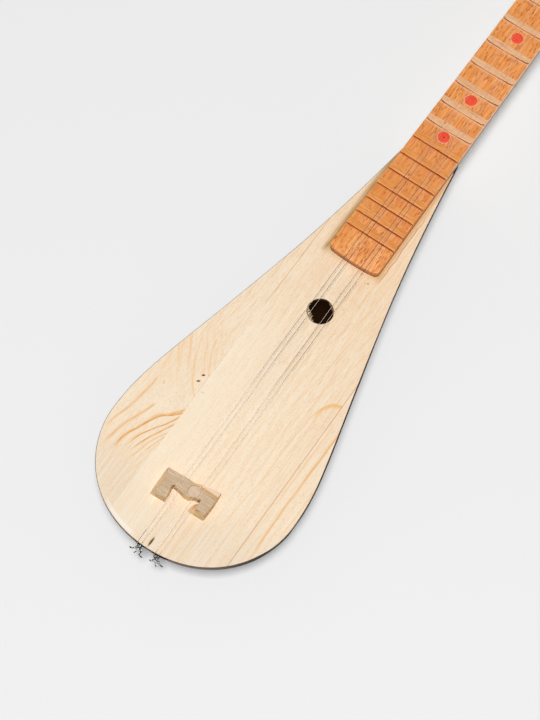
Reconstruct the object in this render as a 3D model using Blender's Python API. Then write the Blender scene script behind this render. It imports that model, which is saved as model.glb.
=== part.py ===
"""A long-necked lute (tanbur) with a carved bowl, four strings and four friction pegs.

The instrument lies on its back. +X runs along the neck to the head, +Y is the left side
seen from the tail, and +Z points out of the soundboard. The origin is on the flat of the
bowl's back. All sizes are in metres.
"""
from math import asin, atan2, cos, hypot, pi, radians, sin, sqrt

import bmesh
import bpy
from mathutils import Matrix, Vector
from mathutils.geometry import interpolate_bezier

# Body
ORIGIN_FROM_TAIL = 0.170
BODY_LENGTH = 0.387
BODY_DEPTH = 0.046
BODY_HALF_WIDTH = 0.0811
WIDEST_FROM_TAIL = 0.074
SHOULDER_FROM_JOINT = 0.146
SHOULDER_HALF_WIDTH = 0.0469
SHOULDER_SLOPE = 0.229
JOINT_SLOPE = 0.138
TAIL_REACH = 0.053
WIDEST_BACK_REACH = 0.035
WIDEST_FRONT_REACH = 0.040
SHOULDER_BACK_REACH = 0.111
SHOULDER_FRONT_REACH = 0.029
JOINT_REACH = 0.081
KEEL_START_FROM_TAIL = 0.105
KEEL_END_FROM_TAIL = 0.200
REST_FLAT_CUT = 0.0012
BOWL_WALL = 0.0045
BOWL_FLOOR = 0.0060
BOWL_SQUARENESS = 2.3
TAIL_BLOCK = 0.016
NECK_BLOCK = 0.052
SOUNDBOARD_THICKNESS = 0.0028
LEFT_SEAM_Y = 0.0358
RIGHT_SEAM_Y = -0.0586
SOUND_HOLE_RADIUS = 0.0105
SOUND_HOLE_FROM_JOINT = 0.163
SOUND_HOLE_Y = -0.0020
BRACE_WIDTH = 0.006
BRACE_HEIGHT = 0.008
BRACE_END_HEIGHT = 0.0032
BRACE_END_GAP = 0.0025
BRACE_FULL_SHARE = 0.7
BRACE_FROM_BRIDGE = 0.0515
BRACE_BEHIND_HOLE = 0.042
BRACE_BEYOND_HOLE = 0.034

# Neck and fingerboard
SCALE_LENGTH = 0.624
OPEN_LINE_FROM_TAIL = 0.0735
FINGERBOARD_PAST_LAST_FRET = 0.0241
FINGERBOARD_HEIGHT = 0.0070
FINGERBOARD_TAPER = 0.0189
FINGERBOARD_END_BOW = 0.0006
NUT_HALF_WIDTH = 0.0182
FINGERBOARD_CORNER = 0.004
NECK_DEPTH_AT_JOINT = 0.024
NECK_DEPTH_AT_NUT = 0.017
NECK_SQUARENESS = 2.2
NECK_TURN_TO_HEAD = 0.012
TENON_LENGTH = 0.030
TENON_HALF_WIDTH = 0.012
TENON_DEPTH = 0.015
FRET_COUNT = 18
FRET_WIDTH = 0.0060
FRET_RISE = 0.0012
FRET_FRONT_RISE = 0.0010
FRET_CREST_BACK = 0.0007
FRET_SEAT_DEPTH = 0.0010
FRET_SIDE_MARGIN = 0.0006
DOT_FRETS = (5, 7, 10, 12)
DOT_RADIUS = 0.0050
DOT_THICKNESS = 0.0014
NUT_THICKNESS = 0.005
NUT_RISE = 0.0026

# Strings
STRING_RADIUS = 0.00025
STRING_CENTRE_AT_BRIDGE = -0.0044
STRING_CENTRE_AT_NUT = -0.0012
COURSE_HALF_GAP_AT_BRIDGE = 0.00768
COURSE_HALF_GAP_AT_NUT = 0.00672
PAIR_HALF_GAP_AT_BRIDGE = 0.00182
PAIR_HALF_GAP_AT_NUT = 0.00187
NOTCH_DEPTH = 0.0006
NOTCH_HALF_WIDTH = 0.0006
EDGE_BEND = 0.0006
TAIL_END_RISE = 0.0052
TAIL_BEND_RISE = 0.0030

# Bridge: its plan is given from the middle of its front edge, and it stands askew
BRIDGE_BEHIND_OPEN_LINE = 0.0150
BRIDGE_HEIGHT = 0.0100
BRIDGE_TOP_SHARE = 0.985
BRIDGE_PLAN = (
    (-0.0025, 0.0216), (-0.0225, 0.0200), (-0.0222, 0.0104), (-0.0119, 0.0120), (-0.0130, 0.0015),
    (-0.0094, -0.0112), (-0.0165, -0.0116), (-0.0176, -0.0208), (0.0035, -0.0204), (0.0004, 0.0002),
)

# Tail pins
PIN_DEPTH_BELOW_TOP = 0.0090
PIN_RADIUS = 0.0013
PIN_HEAD_RADIUS = 0.0026
PIN_HEAD_LENGTH = 0.0012
PIN_STANDOUT = 0.0055
PIN_BURIED = 0.0100
LOOP_PLANES = (0.0011, 0.0023)

# Pegbox and pegs
PEGBOX_LENGTH = 0.118
PEGBOX_START_HALF_WIDTH = 0.0172
PEGBOX_END_HALF_WIDTH = 0.0140
PEGBOX_START_DEPTH = 0.0195
PEGBOX_END_DEPTH = 0.0165
PEGBOX_SQUARENESS = 5.0
PEGBOX_FOOT_CUT = 0.0008
PEGBOX_TIP_ROUND = 0.012
PEGBOX_TIP_NARROW_SHARE = 0.45
SLOT_START = 0.011
SLOT_END_WALL = 0.011
SLOT_HALF_WIDTH = 0.0080
SLOT_DEPTH = 0.0125
FIRST_PEG = 0.0240
LAST_PEG_FROM_END = 0.0250
PEG_AXIS_DEPTH = 0.0068
PEG_RADIUS_AT_HANDLE = 0.0044
PEG_RADIUS_AT_TIP = 0.0036
PEG_TIP_STANDOUT = 0.003
PEG_TIP_CHAMFER = 0.001
PEG_COLLAR_RADIUS = 0.0062
PEG_COLLAR_SHOULDER = 0.0008
PEG_COLLAR_LENGTH = 0.0026
PEG_HANDLE_FROM_COLLAR = 0.006
PEG_HANDLE_FILLET = 0.0016
PEG_HANDLE_LENGTH = 0.027
# Share of the handle's length, and share of its radius there
PEG_HANDLE_SHARES = (
    (0.22, 0.86), (0.45, 1.0), (0.66, 0.92), (0.82, 0.62), (0.88, 0.40), (0.95, 0.34), (1.0, 0.0),
)
PEG_HANDLE_RADIUS = 0.0068
PEG_HANDLE_WIDE_SHARE = 1.45
PEG_HANDLE_FLAT_SHARE = 0.52
PEG_HOLE_RADIUS = 0.0008
WINDING_LOOPS = 3.5
WINDING_PITCH = 0.00105
WINDING_PLACES = (0.0045, 0.0018, -0.0030, -0.0048)
PEG_FOR_STRING = (0, 2, 3, 1)

# Gap kept between pieces that touch
GAP = 0.0003

TAIL_X = -ORIGIN_FROM_TAIL
JOINT_X = TAIL_X + BODY_LENGTH
WIDEST_X = TAIL_X + WIDEST_FROM_TAIL
SHOULDER_X = JOINT_X - SHOULDER_FROM_JOINT
TOP_Z = BODY_DEPTH
RIM_Z = TOP_Z - SOUNDBOARD_THICKNESS - GAP
OPEN_LINE_X = TAIL_X + OPEN_LINE_FROM_TAIL
NUT_X = OPEN_LINE_X + SCALE_LENGTH
LAST_FRET_X = OPEN_LINE_X + SCALE_LENGTH * 2 ** (-FRET_COUNT / 12)
FINGERBOARD_END_X = LAST_FRET_X - FINGERBOARD_PAST_LAST_FRET
SOUND_HOLE_X = JOINT_X - SOUND_HOLE_FROM_JOINT
BRIDGE_X = OPEN_LINE_X - BRIDGE_BEHIND_OPEN_LINE
PEG_SPACING = (PEGBOX_LENGTH - FIRST_PEG - LAST_PEG_FROM_END) / 3
FINGERBOARD_TOP_Z = TOP_Z + FINGERBOARD_HEIGHT
NUT_TOP_Z = FINGERBOARD_TOP_Z + NUT_RISE
BRIDGE_TOP_Z = TOP_Z + BRIDGE_HEIGHT
STRING_OVER_NOTCH = GAP + STRING_RADIUS - NOTCH_DEPTH
PEGBOX_X = NUT_X + NUT_THICKNESS + 2 * GAP
# The head is bent back until its end stands on the same surface as the bowl
PEGBOX_ANGLE = asin(BODY_DEPTH / hypot(PEGBOX_LENGTH, PEGBOX_END_DEPTH)) - atan2(
    PEGBOX_END_DEPTH, PEGBOX_LENGTH)
WINDING_RADIUS = PEG_RADIUS_AT_HANDLE + GAP + STRING_RADIUS

BOWL_SECTION_STEPS = 20
TUBE_RESOLUTION = 2
WINDING_RESOLUTION = 1
POINTS_PER_LOOP = 24
ROUND_SIDES = 24


def clear_scene():
    """Start from an empty scene."""
    for item in list(bpy.data.objects):
        bpy.data.objects.remove(item)


def make_material(name, colour, roughness, metallic=0.0):
    """A plain surface with the piece's colour."""
    material = bpy.data.materials.new(name)
    material.use_nodes = True
    shader = material.node_tree.nodes["Principled BSDF"]
    shader.inputs["Base Color"].default_value = (*colour, 1.0)
    shader.inputs["Roughness"].default_value = roughness
    shader.inputs["Metallic"].default_value = metallic
    return material


def add_object(name, mesh_source, material, smooth_angle=None):
    """Turn a bmesh into a named object with its material."""
    mesh = bpy.data.meshes.new(name)
    bmesh.ops.recalc_face_normals(mesh_source, faces=mesh_source.faces)
    mesh_source.to_mesh(mesh)
    mesh_source.free()
    if smooth_angle is not None:
        mesh.shade_smooth()
        mesh.set_sharp_from_angle(angle=smooth_angle)
    mesh.materials.append(material)
    piece = bpy.data.objects.new(name, mesh)
    bpy.context.scene.collection.objects.link(piece)
    return piece


def add_cutter(name, mesh_source):
    """An object that only cuts others."""
    mesh = bpy.data.meshes.new(name)
    bmesh.ops.recalc_face_normals(mesh_source, faces=mesh_source.faces)
    mesh_source.to_mesh(mesh)
    mesh_source.free()
    cutter = bpy.data.objects.new(name, mesh)
    cutter.hide_render = True
    cutter.display_type = "WIRE"
    bpy.context.scene.collection.objects.link(cutter)
    return cutter


def cut(piece, cutter):
    """Take the cutter's shape out of the piece."""
    modifier = piece.modifiers.new("cut_" + cutter.name, "BOOLEAN")
    modifier.operation = "DIFFERENCE"
    modifier.object = cutter


def add_box(source, low, high):
    """Add a box between two corners to a bmesh and return its vertices."""
    size = [b - a for a, b in zip(low, high)]
    middle = [(a + b) / 2 for a, b in zip(low, high)]
    matrix = Matrix.Translation(middle) @ Matrix.Diagonal((*size, 1.0))
    return bmesh.ops.create_cube(source, size=1.0, matrix=matrix)["verts"]


def add_rod(source, start, end, start_radius, end_radius, sides=ROUND_SIDES):
    """Add a closed cone or cylinder between two points to a bmesh."""
    start = Vector(start)
    run = Vector(end) - start
    turn = run.to_track_quat("Z", "Y").to_matrix().to_4x4()
    bmesh.ops.create_cone(
        source, cap_ends=True, segments=sides, radius1=start_radius, radius2=end_radius,
        depth=run.length, matrix=Matrix.Translation(start + run / 2) @ turn)


def extrude_outline(source, outline, low_z, high_z):
    """Add a plate with this outline between two heights to a bmesh."""
    corners = [source.verts.new((x, y, low_z)) for x, y in outline]
    face = source.faces.new(corners)
    raised = bmesh.ops.extrude_face_region(source, geom=[face])["geom"]
    moved = [item for item in raised if isinstance(item, bmesh.types.BMVert)]
    bmesh.ops.translate(source, verts=moved, vec=(0.0, 0.0, high_z - low_z))
    return moved


def loft(source, rings):
    """Join closed rings of points into one closed body, with both ends capped."""
    loops = [[source.verts.new(point) for point in ring] for ring in rings]
    count = len(loops[0])
    for near, far in zip(loops, loops[1:]):
        for i in range(count):
            j = (i + 1) % count
            source.faces.new((near[i], near[j], far[j], far[i]))
    source.faces.new(loops[0])
    source.faces.new(list(reversed(loops[-1])))


def bezier_points(start, start_handle, end_handle, end, count):
    """Points on one curve segment, without its last one."""
    knots = [Vector((*point, 0.0)) for point in (start, start_handle, end_handle, end)]
    return [(point.x, point.y) for point in interpolate_bezier(*knots, count + 1)[:-1]]


def neck_half_width(x):
    """Half the width of the fingerboard and the neck at a place along them."""
    return NUT_HALF_WIDTH + (NUT_X - x) * FINGERBOARD_TAPER / 2


def half_outline(tail_count, side_count, shoulder_count):
    """Left half of the body's outline, from the tail's tip to the neck joint."""
    tail = (TAIL_X, 0.0)
    widest = (WIDEST_X, BODY_HALF_WIDTH)
    shoulder = (SHOULDER_X, SHOULDER_HALF_WIDTH)
    joint = (JOINT_X, neck_half_width(JOINT_X))
    slope_length = hypot(1.0, SHOULDER_SLOPE)
    along = (1.0 / slope_length, -SHOULDER_SLOPE / slope_length)
    points = bezier_points(
        tail, (TAIL_X, TAIL_REACH), (WIDEST_X - WIDEST_BACK_REACH, BODY_HALF_WIDTH), widest, tail_count)
    points += bezier_points(
        widest, (WIDEST_X + WIDEST_FRONT_REACH, BODY_HALF_WIDTH),
        (shoulder[0] - along[0] * SHOULDER_BACK_REACH, shoulder[1] - along[1] * SHOULDER_BACK_REACH),
        shoulder, side_count)
    points += bezier_points(
        shoulder,
        (shoulder[0] + along[0] * SHOULDER_FRONT_REACH, shoulder[1] + along[1] * SHOULDER_FRONT_REACH),
        (JOINT_X - JOINT_REACH, joint[1] + JOINT_REACH * JOINT_SLOPE), joint, shoulder_count)
    return points + [joint]


def outline_half_width(x):
    """Half the body's width at a place along it, read from the outline's curve."""
    points = half_outline(48, 40, 24)
    for (x0, y0), (x1, y1) in zip(points, points[1:]):
        if x0 <= x <= x1:
            return y0 + (y1 - y0) * (x - x0) / max(x1 - x0, 1e-9)
    return points[-1][1]


def keel_depth(x):
    """Depth of the bowl's lowest line below its rim."""
    full = RIM_Z + REST_FLAT_CUT
    joint = NECK_DEPTH_AT_JOINT - SOUNDBOARD_THICKNESS - GAP
    start = TAIL_X + KEEL_START_FROM_TAIL
    end = TAIL_X + KEEL_END_FROM_TAIL
    if x < start:
        share = min((start - x) / KEEL_START_FROM_TAIL, 1.0)
        return full * sqrt(1.0 - share ** 2)
    if x < end:
        return full
    share = min((x - end) / (JOINT_X - end), 1.0)
    return joint + (full - joint) * (1.0 + cos(pi * share)) / 2


def arch(half_width, depth, squareness, steps):
    """Rounded lower half of a section as (y, z) points, from the left edge to the right."""
    points = []
    for i in range(steps + 1):
        angle = pi * i / steps
        across = abs(cos(angle)) ** (2 / squareness)
        down = sin(angle) ** (2 / squareness) if 0 < i < steps else 0.0
        points.append((half_width * (across if cos(angle) > 0 else -across), -depth * down))
    return points


def make_bowl(material):
    """Carved bowl, hollow and open at the top, with solid blocks at the tail and the neck."""
    rings = []
    for x, half_width in half_outline(12, 12, 6)[1:]:
        section = arch(half_width, keel_depth(x), BOWL_SQUARENESS, BOWL_SECTION_STEPS)
        rings.append([(x, y, max(RIM_Z + z, 0.0)) for y, z in section])
    source = bmesh.new()
    loft(source, rings)
    bowl = add_object("bowl", source, material, radians(30))

    first = TAIL_X + TAIL_BLOCK
    last = JOINT_X - NECK_BLOCK
    steps = 14
    probe = 0.001
    rings = []
    for i in range(steps + 1):
        x = first + (last - first) * (1.0 - cos(pi * i / steps)) / 2
        slope = (outline_half_width(x + probe) - outline_half_width(x - probe)) / (2 * probe)
        sink = (keel_depth(x + probe) - keel_depth(x - probe)) / (2 * probe)
        half_width = outline_half_width(x) - BOWL_WALL * hypot(1.0, slope)
        depth = min(keel_depth(x), RIM_Z) - BOWL_FLOOR * hypot(1.0, sink)
        section = arch(half_width, depth, BOWL_SQUARENESS, BOWL_SECTION_STEPS)
        ring = [(x, y, RIM_Z + z) for y, z in section]
        ring += [(x, -half_width, TOP_Z), (x, half_width, TOP_Z)]
        rings.append(ring)
    hollow = bmesh.new()
    loft(hollow, rings)
    cut(bowl, add_cutter("bowl_hollow", hollow))

    mortise = bmesh.new()
    add_box(
        mortise,
        (JOINT_X - TENON_LENGTH - 2 * GAP, -TENON_HALF_WIDTH - GAP, RIM_Z - TENON_DEPTH - 2 * GAP),
        (JOINT_X + TENON_LENGTH, TENON_HALF_WIDTH + GAP, TOP_Z))
    cut(bowl, add_cutter("neck_mortise", mortise))

    bores = bmesh.new()
    for y in course_centres_at_bridge():
        pin_z = TOP_Z - PIN_DEPTH_BELOW_TOP
        add_rod(
            bores, (TAIL_X - PIN_STANDOUT, y, pin_z), (TAIL_X + PIN_BURIED + GAP, y, pin_z),
            PIN_RADIUS + GAP, PIN_RADIUS + GAP, 12)
    cut(bowl, add_cutter("tail_pin_bores", bores))
    return bowl


def make_soundboards(material):
    """Three boards side by side, flush with the bowl's outline, the middle one with the hole."""
    left = half_outline(18, 14, 8)
    outline = left + [(x, -y) for x, y in reversed(left[1:])]
    far = BODY_HALF_WIDTH * 2
    spans = {
        "soundboard_left": (LEFT_SEAM_Y + GAP / 2, far),
        "soundboard_centre": (RIGHT_SEAM_Y + GAP / 2, LEFT_SEAM_Y - GAP / 2),
        "soundboard_right": (-far, RIGHT_SEAM_Y - GAP / 2),
    }
    boards = []
    for name, (low_y, high_y) in spans.items():
        source = bmesh.new()
        corners = [source.verts.new((x, y, 0.0)) for x, y in outline]
        source.faces.new(corners)
        for plane_y, normal_y in ((low_y, -1.0), (high_y, 1.0)):
            bmesh.ops.bisect_plane(
                source, geom=source.verts[:] + source.edges[:] + source.faces[:],
                plane_co=(0.0, plane_y, 0.0), plane_no=(0.0, normal_y, 0.0), clear_outer=True)
        rim = [(vert.co.x, vert.co.y) for vert in source.faces[:][0].verts]
        source.free()
        plate = bmesh.new()
        extrude_outline(plate, rim, TOP_Z - SOUNDBOARD_THICKNESS, TOP_Z)
        boards.append(add_object(name, plate, material, radians(30)))
    hole = bmesh.new()
    add_rod(
        hole, (SOUND_HOLE_X, SOUND_HOLE_Y, RIM_Z - SOUNDBOARD_THICKNESS),
        (SOUND_HOLE_X, SOUND_HOLE_Y, TOP_Z + SOUNDBOARD_THICKNESS),
        SOUND_HOLE_RADIUS, SOUND_HOLE_RADIUS, 32)
    cut(boards[1], add_cutter("sound_hole", hole))
    return boards


def make_braces(material):
    """Bars glued across the underside of the soundboard, thinner towards their ends."""
    top = TOP_Z - SOUNDBOARD_THICKNESS - GAP
    places = [BRIDGE_X + BRACE_FROM_BRIDGE]
    places += [SOUND_HOLE_X - BRACE_BEHIND_HOLE, SOUND_HOLE_X + BRACE_BEYOND_HOLE]
    for number, x in enumerate(places, 1):
        reach = outline_half_width(x) - BOWL_WALL - BRACE_END_GAP
        full = reach * BRACE_FULL_SHARE
        profile = [
            (-reach, top), (reach, top), (reach, top - BRACE_END_HEIGHT), (full, top - BRACE_HEIGHT),
            (-full, top - BRACE_HEIGHT), (-reach, top - BRACE_END_HEIGHT),
        ]
        source = bmesh.new()
        rings = [[(x + side * BRACE_WIDTH / 2, y, z) for y, z in profile] for side in (-1, 1)]
        loft(source, rings)
        add_object(f"brace_{number}", source, material)


def pegbox_matrix():
    """Frame of the pegbox: its x runs along the head and its z stands on its face."""
    return Matrix.Translation((PEGBOX_X, 0.0, TOP_Z)) @ Matrix.Rotation(PEGBOX_ANGLE, 4, "Y")


def pegbox_half_width(along):
    """Half the pegbox's width at a place along it, rounded in at its tip."""
    share = along / PEGBOX_LENGTH
    half_width = PEGBOX_START_HALF_WIDTH + (PEGBOX_END_HALF_WIDTH - PEGBOX_START_HALF_WIDTH) * share
    round_share = max(0.0, 1.0 - (PEGBOX_LENGTH - along) / PEGBOX_TIP_ROUND)
    return half_width * (1.0 - PEGBOX_TIP_NARROW_SHARE * (1.0 - sqrt(1.0 - round_share ** 2)))


def pegbox_stations():
    """Places along the pegbox where its shape is set, closer together round its tip."""
    stations = [0.0, SLOT_START * 0.7, PEGBOX_LENGTH * 0.45]
    for i in range(6):
        stations.append(PEGBOX_LENGTH - PEGBOX_TIP_ROUND * (1.0 - sin(pi / 2 * i / 5)))
    return stations


def peg_place(index):
    """Distance along the pegbox of one peg's axis."""
    return FIRST_PEG + PEG_SPACING * index


def make_neck(material):
    """Neck and pegbox carved in one, with a tenon that seats in the bowl's block."""
    rings = []
    start = JOINT_X + GAP
    for i in range(5):
        share = i / 4
        x = start + (PEGBOX_X - NECK_TURN_TO_HEAD - start) * share
        depth = NECK_DEPTH_AT_JOINT + (NECK_DEPTH_AT_NUT - NECK_DEPTH_AT_JOINT) * share
        section = arch(neck_half_width(x), depth, NECK_SQUARENESS, 14)
        rings.append([(x, y, TOP_Z + z) for y, z in section])
    place = pegbox_matrix()
    for along in pegbox_stations():
        share = along / PEGBOX_LENGTH
        depth = PEGBOX_START_DEPTH + (PEGBOX_END_DEPTH + PEGBOX_FOOT_CUT - PEGBOX_START_DEPTH) * share
        boxed = min(1.0, 0.5 + along / SLOT_START)
        squareness = NECK_SQUARENESS + (PEGBOX_SQUARENESS - NECK_SQUARENESS) * boxed
        section = arch(pegbox_half_width(along), depth, squareness, 14)
        ring = [place @ Vector((along, y, z)) for y, z in section]
        rings.append([(point.x, point.y, max(point.z, 0.0)) for point in ring])
    source = bmesh.new()
    loft(source, rings)
    neck = add_object("neck", source, material, radians(30))

    tenon = bmesh.new()
    add_box(
        tenon, (JOINT_X - TENON_LENGTH, -TENON_HALF_WIDTH, RIM_Z - TENON_DEPTH),
        (start + TENON_LENGTH / 4, TENON_HALF_WIDTH, RIM_Z - GAP))
    tenon_object = add_cutter("tenon", tenon)
    union = neck.modifiers.new("tenon", "BOOLEAN")
    union.operation = "UNION"
    union.object = tenon_object

    slot = bmesh.new()
    verts = add_box(
        slot, (SLOT_START, -SLOT_HALF_WIDTH, -SLOT_DEPTH),
        (PEGBOX_LENGTH - SLOT_END_WALL, SLOT_HALF_WIDTH, PEGBOX_START_DEPTH))
    edges = {edge for vert in verts for edge in vert.link_edges}
    upright = [edge for edge in edges if abs(edge.verts[0].co.z - edge.verts[1].co.z) > SLOT_DEPTH]
    bmesh.ops.bevel(
        slot, geom=upright, offset=SLOT_HALF_WIDTH * 0.6, segments=3, profile=0.5, affect="EDGES",
        material=-1)
    bmesh.ops.transform(slot, matrix=place, verts=slot.verts)
    cut(neck, add_cutter("pegbox_slot", slot))

    bores = bmesh.new()
    reach = PEGBOX_START_HALF_WIDTH * 2
    for index, side in enumerate(peg_sides()):
        x = peg_place(index)
        add_rod(
            bores, place @ Vector((x, side * reach, -PEG_AXIS_DEPTH)),
            place @ Vector((x, -side * reach, -PEG_AXIS_DEPTH)),
            peg_radius(reach) + GAP, peg_radius(-reach) + GAP)
    cut(neck, add_cutter("peg_bores", bores))
    return neck


def peg_sides():
    """Side of the head that each peg's handle is on: +1 left, -1 right."""
    return [1 if index % 2 == 0 else -1 for index in range(4)]


def peg_radius(along):
    """Radius of a tapered peg at a distance from the head's middle, towards its handle."""
    share = (PEGBOX_START_HALF_WIDTH - along) / (2 * PEGBOX_START_HALF_WIDTH)
    return PEG_RADIUS_AT_HANDLE + (PEG_RADIUS_AT_TIP - PEG_RADIUS_AT_HANDLE) * share


def make_peg(index, side, material):
    """Friction peg, turned about its own axis, with a flattened handle and a string hole."""
    cheek = pegbox_half_width(peg_place(index))
    tip = -cheek - PEG_TIP_STANDOUT
    collar = cheek + 2 * GAP
    handle = collar + PEG_HANDLE_FROM_COLLAR
    profile = [
        (0.0, tip), (peg_radius(tip) - PEG_TIP_CHAMFER, tip), (peg_radius(tip), tip + PEG_TIP_CHAMFER),
        (peg_radius(collar), collar), (PEG_COLLAR_RADIUS, collar + PEG_COLLAR_SHOULDER),
        (PEG_COLLAR_RADIUS, collar + PEG_COLLAR_LENGTH), (PEG_RADIUS_AT_HANDLE, handle - PEG_HANDLE_FILLET),
        (PEG_RADIUS_AT_HANDLE * 0.9, handle),
    ]
    for share, wide in PEG_HANDLE_SHARES:
        profile.append((PEG_HANDLE_RADIUS * wide, handle + PEG_HANDLE_LENGTH * share))
    source = bmesh.new()
    chain = [source.verts.new((radius, along, 0.0)) for radius, along in profile]
    edges = [source.edges.new(pair) for pair in zip(chain, chain[1:])]
    bmesh.ops.spin(
        source, geom=chain + edges, cent=(0.0, 0.0, 0.0), axis=(0.0, 1.0, 0.0), angle=2 * pi,
        steps=16, use_merge=True, use_duplicate=False)
    bmesh.ops.remove_doubles(source, verts=source.verts, dist=1e-6)
    for vert in source.verts:
        blend = min(max((vert.co.y - handle) / (PEG_HANDLE_LENGTH * PEG_HANDLE_SHARES[0][0]), 0.0), 1.0)
        vert.co.x *= 1.0 + (PEG_HANDLE_WIDE_SHARE - 1.0) * blend
        vert.co.z *= 1.0 + (PEG_HANDLE_FLAT_SHARE - 1.0) * blend
        vert.co.x *= side
        vert.co.y *= side
    peg = add_object(f"peg_{index + 1}", source, material, radians(40))
    peg.location = pegbox_matrix() @ Vector((peg_place(index), 0.0, -PEG_AXIS_DEPTH))
    peg.rotation_euler = (0.0, PEGBOX_ANGLE, 0.0)

    end, outward = winding_end(index)
    hole = bmesh.new()
    add_rod(
        hole, end + outward * PEG_RADIUS_AT_HANDLE, end - outward * PEG_RADIUS_AT_HANDLE * 3,
        PEG_HOLE_RADIUS, PEG_HOLE_RADIUS, 10)
    cutter = add_cutter(f"peg_hole_{index + 1}", hole)
    cutter.parent = peg
    cut(peg, cutter)
    return peg


def string_for_peg(index):
    """Number of the string that a peg tunes."""
    return PEG_FOR_STRING.index(index)


def winding_turns():
    """Angle that a winding goes round its peg."""
    return 2 * pi * WINDING_LOOPS


def winding_point(index, turned):
    """A point of a winding in its peg's frame, at an angle from where it starts on top."""
    string = string_for_peg(index)
    place = WINDING_PLACES[string]
    away = -1.0 if place > 0 else 1.0
    y = place + away * WINDING_PITCH * (turned / (2 * pi) - WINDING_LOOPS / 2)
    angle = winding_start_angle(index) - turned
    return Vector((WINDING_RADIUS * cos(angle), y, WINDING_RADIUS * sin(angle)))


def winding_start_angle(index):
    """Angle round the peg at which the straight string touches its winding."""
    drop = nut_string_in_pegbox(string_for_peg(index)) - Vector((peg_place(index), 0.0, -PEG_AXIS_DEPTH))
    distance = hypot(drop.x, drop.z)
    return atan2(drop.z, drop.x) - (pi / 2 - asin(WINDING_RADIUS / distance))


def winding_end(index):
    """Where a winding turns into the peg's hole, and the outward direction there."""
    angle = winding_start_angle(index) - winding_turns() - 0.10
    outward = Vector((cos(angle), 0.0, sin(angle)))
    last = winding_point(index, winding_turns())
    return outward * WINDING_RADIUS + Vector((0.0, last.y, 0.0)), outward


def make_tube(name, points, resolution, material):
    """A round wire along a list of points, with closed ends."""
    curve = bpy.data.curves.new(name, "CURVE")
    curve.dimensions = "3D"
    curve.bevel_depth = STRING_RADIUS
    curve.bevel_resolution = resolution
    curve.use_fill_caps = True
    spline = curve.splines.new("POLY")
    spline.points.add(len(points) - 1)
    for slot, point in zip(spline.points, points):
        slot.co = (*point, 1.0)
    curve.materials.append(material)
    tube = bpy.data.objects.new(name, curve)
    bpy.context.scene.collection.objects.link(tube)
    return tube


def winding_gap(points):
    """Least gap between one turn of a winding and the next."""
    least = 1.0
    for i, point in enumerate(points):
        for other in points[i + POINTS_PER_LOOP // 2:]:
            least = min(least, (Vector(point) - Vector(other)).length)
    return least - 2 * STRING_RADIUS


def make_winding(index, peg, material):
    """The end of a string wound on its peg, its last stretch turned into the peg's hole."""
    steps = round(POINTS_PER_LOOP * WINDING_LOOPS)
    points = [winding_point(index, winding_turns() * i / steps) for i in range(steps + 1)]
    tangent = (points[0] - points[1]).normalized()
    points.insert(0, points[0] + tangent * 2 * STRING_RADIUS)
    end, outward = winding_end(index)
    points[-1] = points[-1].lerp(points[-2], 0.4)
    points.append(end - outward * STRING_RADIUS * 0.8)
    points.append(end - outward * STRING_RADIUS * 4)
    points.append(end - outward * STRING_RADIUS * 8)
    print(f"winding_{index + 1} least gap to itself: {winding_gap(points[:-3]) * 1000:.2f} mm")
    winding = make_tube(f"winding_{index + 1}", points, WINDING_RESOLUTION, material)
    winding.parent = peg
    return winding


def course_centres_at_bridge():
    """Middle of each pair of strings at the bridge, where the tail pins are too."""
    return [STRING_CENTRE_AT_BRIDGE + side * COURSE_HALF_GAP_AT_BRIDGE for side in (1, -1)]


def string_y(string, at_nut):
    """Sideways place of a string at the nut or at the bridge."""
    course = 1 if string < 2 else -1
    side = 1 if string % 2 == 0 else -1
    if at_nut:
        return STRING_CENTRE_AT_NUT + course * COURSE_HALF_GAP_AT_NUT + side * PAIR_HALF_GAP_AT_NUT
    return STRING_CENTRE_AT_BRIDGE + course * COURSE_HALF_GAP_AT_BRIDGE + side * PAIR_HALF_GAP_AT_BRIDGE


def string_height_at_nut():
    """Height of the strings' middle in the nut's notches."""
    return NUT_TOP_Z + STRING_OVER_NOTCH


def nut_string_in_pegbox(string):
    """Where a string leaves the nut, in the pegbox's frame."""
    leave = Vector((NUT_X + NUT_THICKNESS, string_y(string, True), string_height_at_nut()))
    return pegbox_matrix().inverted() @ leave


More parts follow.
